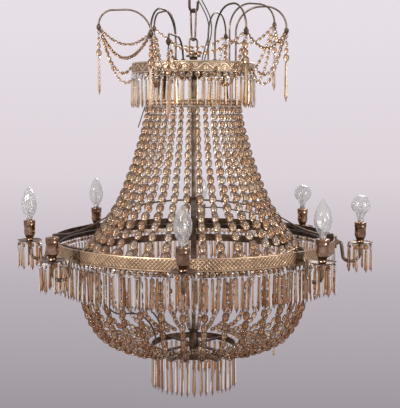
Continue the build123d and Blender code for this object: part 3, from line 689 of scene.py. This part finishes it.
tent_line = smooth_profile(TENT_PROFILE)
tent_hangers = (
    [(0, -TENT_RING_R + BAND_WALL, TENT_RING_TOP_Z - TENT_RING_HEIGHT + 1), tent_line[0]],
    [tent_line[-1], (0, -HOOP_R + HANGER_INSET, HOOP_TOP_Z - 1)],
)
strands(
    "tent_beads", "tent_strands", tent_line, graded(TENT_SMALL, TENT_LARGE, TENT_BEADS),
    [TENT_START + 360 * i / TENT_STRANDS for i in range(TENT_STRANDS)], tent_glass,
    "champagne_glass", 11, tent_hangers,
)
basket_line = smooth_profile(BASKET_PROFILE)
basket_hangers = (
    [(0, -HOOP_R + HANGER_INSET, HOOP_TOP_Z - HOOP_HEIGHT + 1), basket_line[0]],
    [basket_line[-1], (0, -LOWER_RING_R + HANGER_INSET, LOWER_RING_TOP_Z - 1)],
)
stray_azimuth = BASKET_START + 360 * STRAY_STRAND / BASKET_STRANDS
stray_place = turn_z(stray_azimuth) @ Matrix.Translation((0, -STRAY_R, STRAY_TOP_Z - STRAY_LINK))
stray = moved(cut_drop(STRAY_WIDTH, STRAY_LENGTH), stray_place)
strands(
    "basket_beads", "basket_strands", basket_line, graded(BASKET_UPPER, BASKET_LOWER, BASKET_BEADS),
    [BASKET_START + 360 * i / BASKET_STRANDS for i in range(BASKET_STRANDS)], basket_glass,
    "smoky_glass", 12, basket_hangers, [stray],
)
stray_wire = tube([(0, 0, -0.5), (0, 0, STRAY_LINK + 2)], LINK_R, 6)
mesh_object("stray_link", *moved(stray_wire, stray_place), wire_metal, slot="smoky_glass")


STONE_LOW = -2 * STONE_DROP
PIN_ROUTES = (
    ((0, -0.6, 1.5), (0, -1.4, -1), (0, -1.4, -3)),
    ((0, -2.2, STONE_LOW + 2.5), (0, -2.6, STONE_LOW - 0.5), (0, -1.8, STONE_LOW - 3)),
)


def fringe(radius, rim_z, fringe_size, start, seed):
    """Stones, drops and pins below a rim, each a little turned as it hangs."""
    count, width, length = fringe_size
    draw = random.Random(seed)
    stones = []
    drops = []
    pins = []
    for i in range(count):
        swing = Matrix.Rotation(math.radians(draw.gauss(0, 0.7)), 4, "Y")
        swing = Matrix.Rotation(math.radians(draw.gauss(0, 0.8)), 4, "X") @ swing
        hang = turn_z(start + 360 * i / count) @ Matrix.Translation((0, -radius, rim_z)) @ swing
        spin = Matrix.Rotation(math.radians(draw.gauss(0, 9)), 4, "Z")
        stones.append(moved(cut_octagon(), hang @ Matrix.Translation((0, 0, -STONE_DROP)) @ spin))
        drop_spin = Matrix.Rotation(math.radians(draw.gauss(0, 14)), 4, "Z")
        size = length * draw.uniform(0.975, 1.0) - 1
        hang_drop = hang @ Matrix.Translation((0, 0, STONE_LOW - 0.8)) @ drop_spin
        drops.append(moved(cut_drop(width, size), hang_drop))
        pins += [moved(tube(route, PIN_R, 5), hang) for route in PIN_ROUTES]
    return stones, drops, pins


def ring_fringe(name, nodes, shapes, material, slot):
    """Objects of a fringe that replaces its two nodes."""
    stones, drops, pins = shapes
    item = mesh_object(name + "_stones", *merged(stones), material, slot=slot)
    mark_tips(item, len(stones), 0)
    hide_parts(nodes[0])
    item = mesh_object(name + "_drops", *merged(drops), material, slot=slot)
    mark_tips(item, 0, len(drops))
    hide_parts(nodes[1])
    mesh_object(name + "_pins", *merged(pins), wire_metal, slot=slot)


ring_fringe(
    "ring_fringe", ("band_octagons", "band_prisms"),
    fringe(RING_R - FRINGE_INSET, RING_TOP_Z - RING_HEIGHT, RING_FRINGE, 180 / RING_FRINGE[0], 21),
    prism_glass, "amber_glass",
)
ring_fringe(
    "crown_fringe", ("crown_octagons", "crown_prisms"),
    fringe(CROWN_R - FRINGE_INSET, CROWN_TOP_Z - CROWN_HEIGHT, CROWN_FRINGE, 0.0, 22),
    crown_glass, "champagne_glass",
)


def lower_fringe(draw):
    """Drops and wire rings under the lower ring."""
    count, width, length = LOWER_FRINGE
    drops = []
    links = []
    for i in range(count):
        rim = (0, -LOWER_RING_R + HANGER_INSET, LOWER_RING_TOP_Z - LOWER_RING_HEIGHT)
        turn = turn_z((i + 0.5) * 360 / count) @ Matrix.Translation(rim)
        turn = turn @ Matrix.Rotation(math.radians(draw.gauss(0, 0.8)), 4, "Y")
        spin = Matrix.Rotation(math.radians(draw.gauss(0, 14)), 4, "Z")
        size = length * draw.uniform(0.975, 1.0) - 1
        below = turn @ Matrix.Translation((0, 0, -LOWER_LINK - 0.4)) @ spin
        drops.append(moved(cut_drop(width, size), below))
        upright = Matrix.Translation((0, 0, -2.2)) @ Matrix.Rotation(math.pi / 2, 4, "X")
        links.append(moved(torus(2.4, 0.5, 14, 5), turn @ upright))
    item = mesh_object("lower_drops", *merged(drops), amber_glass, slot="amber_glass")
    mark_tips(item, 0, len(drops))
    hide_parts("lower_prisms")
    mesh_object("lower_links", *merged(links), wire_metal, slot="amber_glass")


lower_fringe(random.Random(31))

pan_stones = []
pan_drops = []
pan_pins = []
for arm in range(1, ARMS + 1):
    stones, drops, pins = fringe(PAN_FRINGE_R, BOBECHE_Z + 0.8, PAN_FRINGE, 180 / PAN_FRINGE[0], 39 + arm)
    place = at_arm(arm)
    pan_stones += [moved(part, place) for part in stones]
    pan_drops += [moved(part, place) for part in drops]
    pan_pins += [moved(part, place) for part in pins]
item = mesh_object("pan_drops", *merged(pan_stones + pan_drops), amber_glass, slot="amber_glass")
mark_tips(item, len(pan_stones), len(pan_drops))
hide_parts("arm_pendants")
mesh_object("pan_drop_pins", *merged(pan_pins), wire_metal, slot="amber_glass")


# ----------------------------------------------------- plume glass and swags
def plume_eye(shape):
    """Middle of the wire eye under a plume's bud."""
    azimuth, _, tip_r, tip_z = shape
    return polar(tip_r, azimuth, tip_z - BUD_LENGTH - EYE_R + EYE_WIRE_R)


def swag_hook(shape, toward):
    """Point on a bud's flank, on the side of the swag's far end."""
    azimuth, _, tip_r, tip_z = shape
    middle = polar(tip_r, azimuth, tip_z - BUD_LENGTH / 2)
    side = Vector((toward.x - middle.x, toward.y - middle.y, 0)).normalized()
    return middle + side * (BUD_R - 1)


def swag(start, end, sag, draw, free_steps=0):
    """Fine bead string that hangs between two points; its first steps may be bare wire."""
    route = []
    for step in range(SWAG_STEPS + 1):
        share = step / SWAG_STEPS
        route.append(start + (end - start) * share - Vector((0, 0, 4 * sag * share * (1 - share))))
    strung = route[free_steps:]
    length = sum((b - a).length for a, b in zip(strung, strung[1:]))
    glass, wire = bead_string(strung, [SWAG_BEAD] * round(length / SWAG_PITCH), draw, 0.3, 0.82)
    if free_steps:
        wire.append(tube(route[:free_steps + 1], LINK_R, 6))
    return glass, wire


swag_draw = random.Random(51)
swag_glass = []
swag_wire = []
tips = sorted(PLUME_SHAPES)
for shape, following in zip(tips, tips[1:] + tips[:1]):
    start = swag_hook(shape, plume_eye(following))
    end = swag_hook(following, plume_eye(shape))
    span = (end - start).length
    hung = [(start, end, span * SWAG_SAG, 0)] if span > SWAG_MIN_SPAN else []
    for turn, anchor_z, sag in CROWN_SWAGS:
        anchor = polar(CROWN_R - BAND_WALL / 2, shape[0] + turn, anchor_z)
        hung.append((swag_hook(shape, anchor), anchor, sag, 1))
    for start, end, sag, free_steps in hung:
        beads, line = swag(start, end, sag, swag_draw, free_steps)
        swag_glass += beads
        swag_wire += line
item = mesh_object("swag_beads", *merged(swag_glass), string_glass, smooth=True, slot="champagne_glass")
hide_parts("swag_chains")
mesh_object("swag_wire", *merged(swag_wire), wire_metal, slot="champagne_glass")


def plume_pendant(number, shape):
    """Ring, beads and prism that swing under one plume."""
    pivot = plume_eye(shape) + Vector((0, 0, EYE_WIRE_R + LINK_R + LINK_PLAY - EYE_R))
    place = Matrix.Translation(pivot) @ turn_z(shape[0])
    top = -2 * EYE_R - 3
    pieces = []
    for width, length in PENDANT_BEADS:
        middle = Matrix.Translation((0, 0, top - length / 2))
        pieces.append(moved(oval_bead(width, length * 0.94), place @ middle))
        top -= length
    body = f"plume_pendant_{number}"
    mesh_object(
        f"plume_beads_{number}", *merged(pieces), string_glass, body=body, smooth=True,
        slot="champagne_glass",
    )
    prism = moved(cut_drop(PENDANT_WIDTH, PENDANT_LENGTH), place @ Matrix.Translation((0, 0, top)))
    glass = mesh_object(f"plume_drop_{number}", *prism, crown_glass, body=body, slot="champagne_glass")
    mark_tips(glass, 0, 1)
    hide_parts(body)
    upright = Matrix.Translation((0, 0, -EYE_R)) @ Matrix.Rotation(math.pi / 2, 4, "X")
    ring = moved(torus(EYE_R, LINK_R), upright)
    wire = [ring, tube([(0, 0, -2 * EYE_R), (0, 0, top - 2)], 0.5, 6)]
    mesh_object(
        f"plume_link_{number}", *merged([moved(part, place) for part in wire]), wire_metal,
        body=body, slot="champagne_glass",
    )


for number, shape in enumerate(PLUME_SHAPES, 1):
    plume_pendant(number, shape)


# ------------------------------------------------------------ embossed bands
RELIEF_STEP = 1.1
RELIEF_RISE = 1.0
RIM_PLACE = 1.6
PATTERN_EDGE = 3.0
PATTERN_FADE = 1.5
LATTICE_PITCH = 8.5
SCROLLS = 20
ROSETTES = ((0.25, -0.12), (0.75, 0.12))
PEARL_PITCH = 6.0


def band_faces(around_steps, up_steps):
    """Outer skin of a band, and after it both edges and the inner wall."""
    faces = []
    for k in range(up_steps):
        for i in range(around_steps):
            j = (i + 1) % around_steps
            a, b = k * around_steps + i, k * around_steps + j
            faces.append((a, a + around_steps, b + around_steps, b))
    low_row = up_steps * around_steps
    top_in = low_row + around_steps
    low_in = top_in + around_steps
    for i in range(around_steps):
        j = (i + 1) % around_steps
        faces.append((i, j, top_in + j, top_in + i))
        faces.append((low_row + j, low_row + i, low_in + i, low_in + j))
        faces.append((top_in + i, top_in + j, low_in + j, low_in + i))
    return faces


def embossed_band(name, node, radius, top_z, height, material, pattern, depth):
    """Brass band with raised ornament outside and a dark plain wall inside."""
    around_steps = int(2 * math.pi * radius / RELIEF_STEP)
    up_steps = int(height / RELIEF_RISE)
    verts = []
    relief = []
    for k in range(up_steps + 1):
        v = k / up_steps
        edge = min(v, 1 - v) * height
        rim = math.exp(-(edge - RIM_PLACE) ** 2)
        fade = min(1.0, max(0.0, (edge - PATTERN_EDGE) / PATTERN_FADE))
        for i in range(around_steps):
            value = pattern(i / around_steps, v)
            r = radius - 0.4 + max(value * depth * fade, rim * depth)
            angle = 2 * math.pi * i / around_steps
            verts.append((r * math.sin(angle), -r * math.cos(angle), top_z - height * v))
            relief.append(min(1.0, max(value if edge > PATTERN_EDGE else 0.3, rim)))
    outer = len(verts)
    inner_r = radius - BAND_WALL
    for z in (top_z, top_z - height):
        verts += [(inner_r * s, -inner_r * c, z) for c, s in circle(around_steps)]
        relief += [0.0] * around_steps
    faces = band_faces(around_steps, up_steps)
    item = mesh_object(name, verts, faces, material, smooth=True, slot="gilt_brass")
    item.data.materials.append(iron)
    for polygon in item.data.polygons[around_steps * up_steps:]:
        polygon.material_index = 1 if min(polygon.vertices) >= outer else 0
    attribute = item.data.attributes.new("relief", "FLOAT", "POINT")
    attribute.data.foreach_set("value", relief)
    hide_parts(node)


def lattice(u, v):
    """Diamond lattice with a small boss in each diamond."""
    across = u * 2 * math.pi * RING_R / LATTICE_PITCH
    up = v * RING_HEIGHT / LATTICE_PITCH
    p = (across + up) % 1.0
    q = (across - up) % 1.0
    line = max(math.exp(-((p - 0.5) / 0.1) ** 2), math.exp(-((q - 0.5) / 0.1) ** 2))
    p = (p + 0.5) % 1.0 - 0.5
    q = (q + 0.5) % 1.0 - 0.5
    boss = math.exp(-(p * p + q * q) / 0.02)
    return max(line, boss * 0.9)


def foliage(u, v):
    """Running scroll with a rosette in every turn, over fine veins."""
    x = (u * SCROLLS) % 1.0
    y = v - 0.5
    stem = math.exp(-((y - 0.26 * math.sin(2 * math.pi * x)) / 0.07) ** 2)
    petals = []
    bosses = []
    for middle_x, middle_y in ROSETTES:
        dx = x - middle_x
        dy = y - middle_y
        reach = math.hypot(dx * 2.0, dy)
        ring = math.exp(-((reach - 0.16) / 0.06) ** 2)
        petals.append(ring * (0.6 + 0.4 * math.cos(6 * math.atan2(dy, dx))))
        bosses.append(math.exp(-(reach / 0.07) ** 2))
    veins = 0.35 * (0.5 + 0.5 * math.cos(2 * math.pi * (x * 6 + y * 5)))
    return min(1.0, max(stem, *petals, sum(bosses), veins))


def beading(u, v):
    """Row of pearls between two lines."""
    x = (u * 2 * math.pi * TENT_RING_R / PEARL_PITCH) % 1.0 - 0.5
    y = (v - 0.5) * TENT_RING_HEIGHT / PEARL_PITCH
    return math.exp(-(x * x + y * y) / 0.09)


embossed_band(
    "main_band_embossed", "main_band", RING_R, RING_TOP_Z, RING_HEIGHT, main_gilt, lattice, 1.2
)
embossed_band(
    "crown_band_embossed", "crown_band", CROWN_R, CROWN_TOP_Z, CROWN_HEIGHT, crown_gilt, foliage, 1.2
)
embossed_band(
    "tent_ring_embossed", "tent_top_ring", TENT_RING_R, TENT_RING_TOP_Z, TENT_RING_HEIGHT,
    crown_gilt, beading, 1.0,
)


# -------------------------------------------------------- lamps and holders
PAN_PROFILE = (
    (4.2, 2.6), (9, 1.2), (14, 1.2), (22, 1.8), (26, 2.8), (29.4, 4.6), (29.85, 4.2),
    (26.6, 2.2), (22, 1.0), (14, 0.2), (6, 0), (4.2, 0.2),
)
HOLDER_FOOT = ((5.4, 3), (8.4, 3), (9.2, 5), (8.2, 7))
HOLDER_WAIST = (
    (8.6, -3), (10.0, -1), (11.4, 3), (12.2, 3.6), (12.6, 6), (13.2, 9), (13.4, 12), (12.8, 12.6),
)
HOLDER_MOUTH = (
    (12.9, -13), (13.6, -12), (14.0, -10.5), (13.6, -9.4), (13.7, -4), (14.1, -3), (13.6, -0.8),
    (12.4, 0), (7.2, 0), (7.05, -1), (7.05, -23.8), (5.4, -24),
)
CAP_FOOT = ((2.4, -22), (4.4, -20), (6.0, -17))
CAP_COLLAR = ((6.5, 1), (6.9, 3), (7.0, 5), (5.0, 5.4))
CAP_TURNS = 7
CAP_PITCH = 2.4
SCALLOP_START = 14
SCALLOP_DEPTH = 3.2
SCALLOPS = 6
FLUTES = 8
FLUTE_DEPTH = 0.045
FLUTE_TWIST = 0.11
COIL_TURNS = 26
COIL_SIDES = 6
CANDLE_SHARES = (
    (6.4, 0.0), (7.6, 0.05), (11.4, 0.14), (15.2, 0.25), (17.2, 0.36), (17.6, 0.46), (16.8, 0.58),
    (14.2, 0.7), (10.6, 0.81), (6.6, 0.9), (3.0, 0.965), (0.3, 1.0),
)


def raised(profile, base_z):
    """Profile whose heights are counted from a base."""
    return [(r, base_z + z) for r, z in profile]


def scallop(r, angle, z):
    """Edge of a drip pan drawn out to points; the height plays no part."""
    if r < SCALLOP_START:
        return r
    share = (r - SCALLOP_START) / 16
    return r - share * SCALLOP_DEPTH * (0.5 - 0.5 * math.cos(SCALLOPS * (angle - math.pi / 2)))


pan = lathe(raised(PAN_PROFILE, BOBECHE_Z), 72, scallop)
pans = [moved(pan, at_arm(arm)) for arm in range(1, ARMS + 1)]
item = mesh_object("drip_pans", *merged(pans), brown_brass, smooth=True, slot="dark_brass")
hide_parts("bobeches")

holder_profile = [
    *raised(HOLDER_FOOT, BOBECHE_Z), *raised(HOLDER_WAIST, HOLDER_BOTTOM_Z),
    *raised(HOLDER_MOUTH, HOLDER_TOP_Z),
]
holder = lathe(holder_profile, 48)
bare_holder = moved(holder, at_arm(EMPTY_ARM))
item = mesh_object("bare_holder_shell", *bare_holder, coppery, smooth=True, slot="holder_brass")
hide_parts("bare_lamp_holder")
holders = [moved(holder, at_arm(arm)) for arm in range(1, ARMS + 1) if arm != EMPTY_ARM]
item = mesh_object("holder_shells", *merged(holders), coppery, smooth=True, slot="holder_brass")
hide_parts("lamp_holders")


def envelope(profile, wave=None):
    """Hollow lamp glass: an outer and an inner skin."""
    inner = [(max(r - LAMP_WALL, 0.02), z) for r, z in profile]
    inner[0] = (inner[0][0], inner[0][1] + LAMP_WALL)
    inner[-1] = (inner[-1][0], inner[-1][1] - LAMP_WALL)
    inner_verts, inner_faces = lathe(inner, LAMP_SIDES, wave)
    turned_in = [tuple(reversed(face)) for face in inner_faces]
    return merged([lathe(profile, LAMP_SIDES, wave), (inner_verts, turned_in)])


def curve_profile(points, steps=5):
    """Smooth (radius, z) profile through points."""
    return [(abs(p.y), p.z) for p in smooth_profile(points, steps)]


candle_foot = HOLDER_TOP_Z + 4
candle_profile = curve_profile(
    [(r, candle_foot + (CANDLE_LENGTH - 4) * share) for r, share in CANDLE_SHARES]
)
globe_z = HOLDER_TOP_Z + GLOBE_RISE
globe_points = raised(((7.6, 4), (8.0, 10), (9.6, 16)), HOLDER_TOP_Z)
for i in range(3, 19):
    angle = math.pi * i / 18
    globe_points.append((max(GLOBE_R * math.sin(angle), 0.3), globe_z - GLOBE_R * math.cos(angle)))
globe_profile = curve_profile(globe_points, 3)


def twist(r, angle, z):
    """Spiral flutes of a flame lamp."""
    return r * (1 + FLUTE_DEPTH * math.cos(FLUTES * angle + (z - HOLDER_TOP_Z) * FLUTE_TWIST))


def filament(height, spread):
    """Glass foot, lead wires and the coil between them, as (glass, metal)."""
    base = HOLDER_TOP_Z + 3
    foot_profile = ((4.6, 0), (3.6, height * 0.3), (1.8, height * 0.55), (1.4, height * 0.62))
    wires = []
    for side in (-1, 1):
        route = [(side * 1.2, 0, base + height * 0.6), (side * spread, 0, base + height)]
        wires.append(tube(route, 0.35, 5))
    coil = []
    for i in range(COIL_TURNS * COIL_SIDES + 1):
        share = i / (COIL_TURNS * COIL_SIDES)
        angle = 2 * math.pi * COIL_TURNS * share
        rise = height + 2.5 * math.sin(math.pi * share)
        coil.append(
            (spread * (1 - 2 * share), 0.7 * math.cos(angle), base + rise + 0.7 * math.sin(angle))
        )
    wires.append(tube(coil, 0.18, 4))
    return lathe(raised(foot_profile, base), 16), merged(wires)


cap_profile = raised(CAP_FOOT, HOLDER_TOP_Z)
for turn in range(CAP_TURNS):
    z = HOLDER_TOP_Z - 16 + turn * CAP_PITCH
    cap_profile += [(6.5, z), (6.0, z + CAP_PITCH / 2)]
cap_profile += raised(CAP_COLLAR, HOLDER_TOP_Z)
cap = lathe(cap_profile, 32)


def lamp(number, arm):
    """Glass, foot, filament and cap of the lamp on an arm."""
    place = at_arm(arm) @ Matrix.Rotation(0.6 * arm, 4, "Z")
    body = f"bulb_{number}"
    if arm in GLOBE_ARMS:
        shape = envelope(globe_profile)
        foot, wires = filament(30, 7)
    else:
        shape = envelope(candle_profile, twist if arm in TWISTED_ARMS else None)
        foot, wires = filament(34, 5)
    parts = (
        ("glass", shape, lamp_glass, True), ("foot", foot, lamp_glass, True),
        ("wires", wires, nickel, False), ("cap", cap, nickel, True),
    )
    for kind, part, finish, smooth in parts:
        item = mesh_object(
            f"lamp_{kind}_{number}", *moved(part, place), finish, body=body, smooth=smooth,
            slot="bulb_glass",
        )
        if kind == "glass":
            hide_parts(body)


for number, arm in enumerate(BULB_ARMS, 1):
    lamp(number, arm)

# -------------------------------------------------------------- plume buds
BUD_PROFILE = (
    (2.3, 3), (3.4, 2.4), (3.0, 1), (4.6, -0.5), (5.0, -3), (4.9, -6), (4.0, -9),
    (2.4, -11.5), (1.1, -13), (0.6, -14),
)
bud = lathe(BUD_PROFILE, 16, lambda r, angle, z: r * (1 + 0.07 * math.cos(6 * angle)))
buds = []
for shape in PLUME_SHAPES:
    azimuth, _, tip_r, tip_z = shape
    buds.append(moved(bud, Matrix.Translation(polar(tip_r, azimuth, tip_z))))
    ring = Matrix.Translation(plume_eye(shape)) @ turn_z(azimuth) @ Matrix.Rotation(math.pi / 2, 4, "Y")
    buds.append(moved(torus(EYE_R, EYE_WIRE_R), ring))
item = mesh_object("plume_acorns", *merged(buds), bronze, smooth=True, slot="bronze_wire")
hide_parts("plume_buds")

# --------------------------------------------------- carried-over CAD pieces
finishes = {
    iron: (
        "ceiling_hook", "crown_spider", "crown_struts", "ring_straps", "inner_hoop", "hoop_brackets",
        "lower_ring", "lower_spider", "strap_collar", "stem_nuts",
    ),
    bronze: ("hanging_loop", "top_stirrup", "plume_rods"),
    brown_brass: ("stem_tube", "finial_nut", "arm_backplates", *[f"arm_{n}" for n in range(1, ARMS + 1)]),
    porcelain: ("holder_contacts",),
    sheath: ("arm_wiring",),
    connector: ("terminal_block",),
}
for material, nodes in finishes.items():
    for node in nodes:
        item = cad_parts[node]
        item.data.materials.clear()
        item.data.materials.append(material)
        item.data.polygons.foreach_set("use_smooth", [True] * len(item.data.polygons))
        item.data.set_sharp_from_angle(angle=math.radians(35))


# ------------------------------------------------------------ room and light
ROOM_HALF = 2.4
FLOOR_Z = -2.4
WALL_Y = 2.6
WALL_TOP = 3.0
SKY_LIGHT = 0.38
SKY_SEEN = 0.7
# Painted light of the backdrop: paler high up, darker towards the floor as painted shade.
BACKDROP_PAINTED_LIGHT_STOPS = (
    (0.0, (0.33, 0.3, 0.33)), (0.35, (0.5, 0.45, 0.49)), (0.62, (0.72, 0.66, 0.7)), (1.0, (0.8, 0.74, 0.79)),
)


def seen_share(tree):
    """1 for what the camera sees, also through glass and in metal, and else 0."""
    path = tree.nodes.new("ShaderNodeLightPath")
    seen = maths(tree, "MAXIMUM", path.outputs["Is Camera Ray"], path.outputs["Is Transmission Ray"])
    return maths(tree, "MAXIMUM", seen, path.outputs["Is Glossy Ray"])


def gradient_material(name):
    """Pale studio paper that glows with painted light for what the camera sees, also through glass and in
    metal, and darkens towards the floor as painted shade.
    """
    material, tree, shader = new_material(name)
    coords = tree.nodes.new("ShaderNodeNewGeometry")
    split = tree.nodes.new("ShaderNodeSeparateXYZ")
    tree.links.new(coords.outputs["Position"], split.inputs["Vector"])
    span = add_node(tree, "ShaderNodeMapRange", From_Min=-2.0, From_Max=0.2)
    tree.links.new(split.outputs["Z"], span.inputs["Value"])
    colour = colour_ramp(tree, span.outputs["Result"], BACKDROP_PAINTED_LIGHT_STOPS)
    # painted light: the paper glows with its own colour where the camera sees it, also through glass and in
    # metal
    glow = tree.nodes.new("ShaderNodeEmission")
    tree.links.new(colour, glow.inputs["Color"])
    tree.links.new(colour, shader.inputs["Base Color"])
    shader.inputs["Roughness"].default_value = 0.9
    mix = tree.nodes.new("ShaderNodeMixShader")
    output = next(n for n in tree.nodes if n.type == "OUTPUT_MATERIAL")
    tree.links.new(seen_share(tree), mix.inputs["Fac"])
    tree.links.new(shader.outputs[0], mix.inputs[1])
    tree.links.new(glow.outputs[0], mix.inputs[2])
    tree.links.new(mix.outputs[0], output.inputs["Surface"])
    return material


paper = gradient_material("studio_paper")


def paper_sheet(name, corners):
    """Floor or backdrop as one sheet of paper."""
    mesh = bpy.data.meshes.new(name)
    mesh.from_pydata(corners, [], [(0, 1, 2, 3)])
    mesh.materials.append(paper)
    item = bpy.data.objects.new(name, mesh)
    bpy.context.scene.collection.objects.link(item)


wall_foot = [(-ROOM_HALF, WALL_Y, FLOOR_Z), (ROOM_HALF, WALL_Y, FLOOR_Z)]
wall_head = [(ROOM_HALF, WALL_Y, WALL_TOP), (-ROOM_HALF, WALL_Y, WALL_TOP)]
floor_front = [(-ROOM_HALF, -ROOM_HALF, FLOOR_Z), (ROOM_HALF, -ROOM_HALF, FLOOR_Z)]
paper_sheet("backdrop", wall_foot + wall_head)
paper_sheet("floor", floor_front + wall_foot[::-1])

world = bpy.data.worlds.new("studio")
bpy.context.scene.world = world
world.use_nodes = True
sky = next(n for n in world.node_tree.nodes if n.type == "BACKGROUND")
sky.inputs["Color"].default_value = (0.86, 0.82, 0.85, 1)
level = add_node(world.node_tree, "ShaderNodeMapRange", To_Min=SKY_LIGHT, To_Max=SKY_SEEN)
world.node_tree.links.new(seen_share(world.node_tree), level.inputs["Value"])
world.node_tree.links.new(level.outputs["Result"], sky.inputs["Strength"])


def soft_lamp(name, place, aim, size, power):
    """Square studio lamp."""
    light = bpy.data.lights.new(name, "AREA")
    light.size = size
    light.energy = power
    lamp = bpy.data.objects.new(name, light)
    lamp.location = place
    lamp.rotation_euler = (Vector(aim) - Vector(place)).to_track_quat("-Z", "Y").to_euler()
    bpy.context.scene.collection.objects.link(lamp)


middle = (0, 0, -0.55)
soft_lamp("key", (-1.6, -2.2, 0.7), middle, size=0.9, power=62)
soft_lamp("fill", (2.0, -1.8, -0.2), middle, size=1.0, power=30)
soft_lamp("back", (0.8, 2.0, 0.9), middle, size=1.2, power=25)
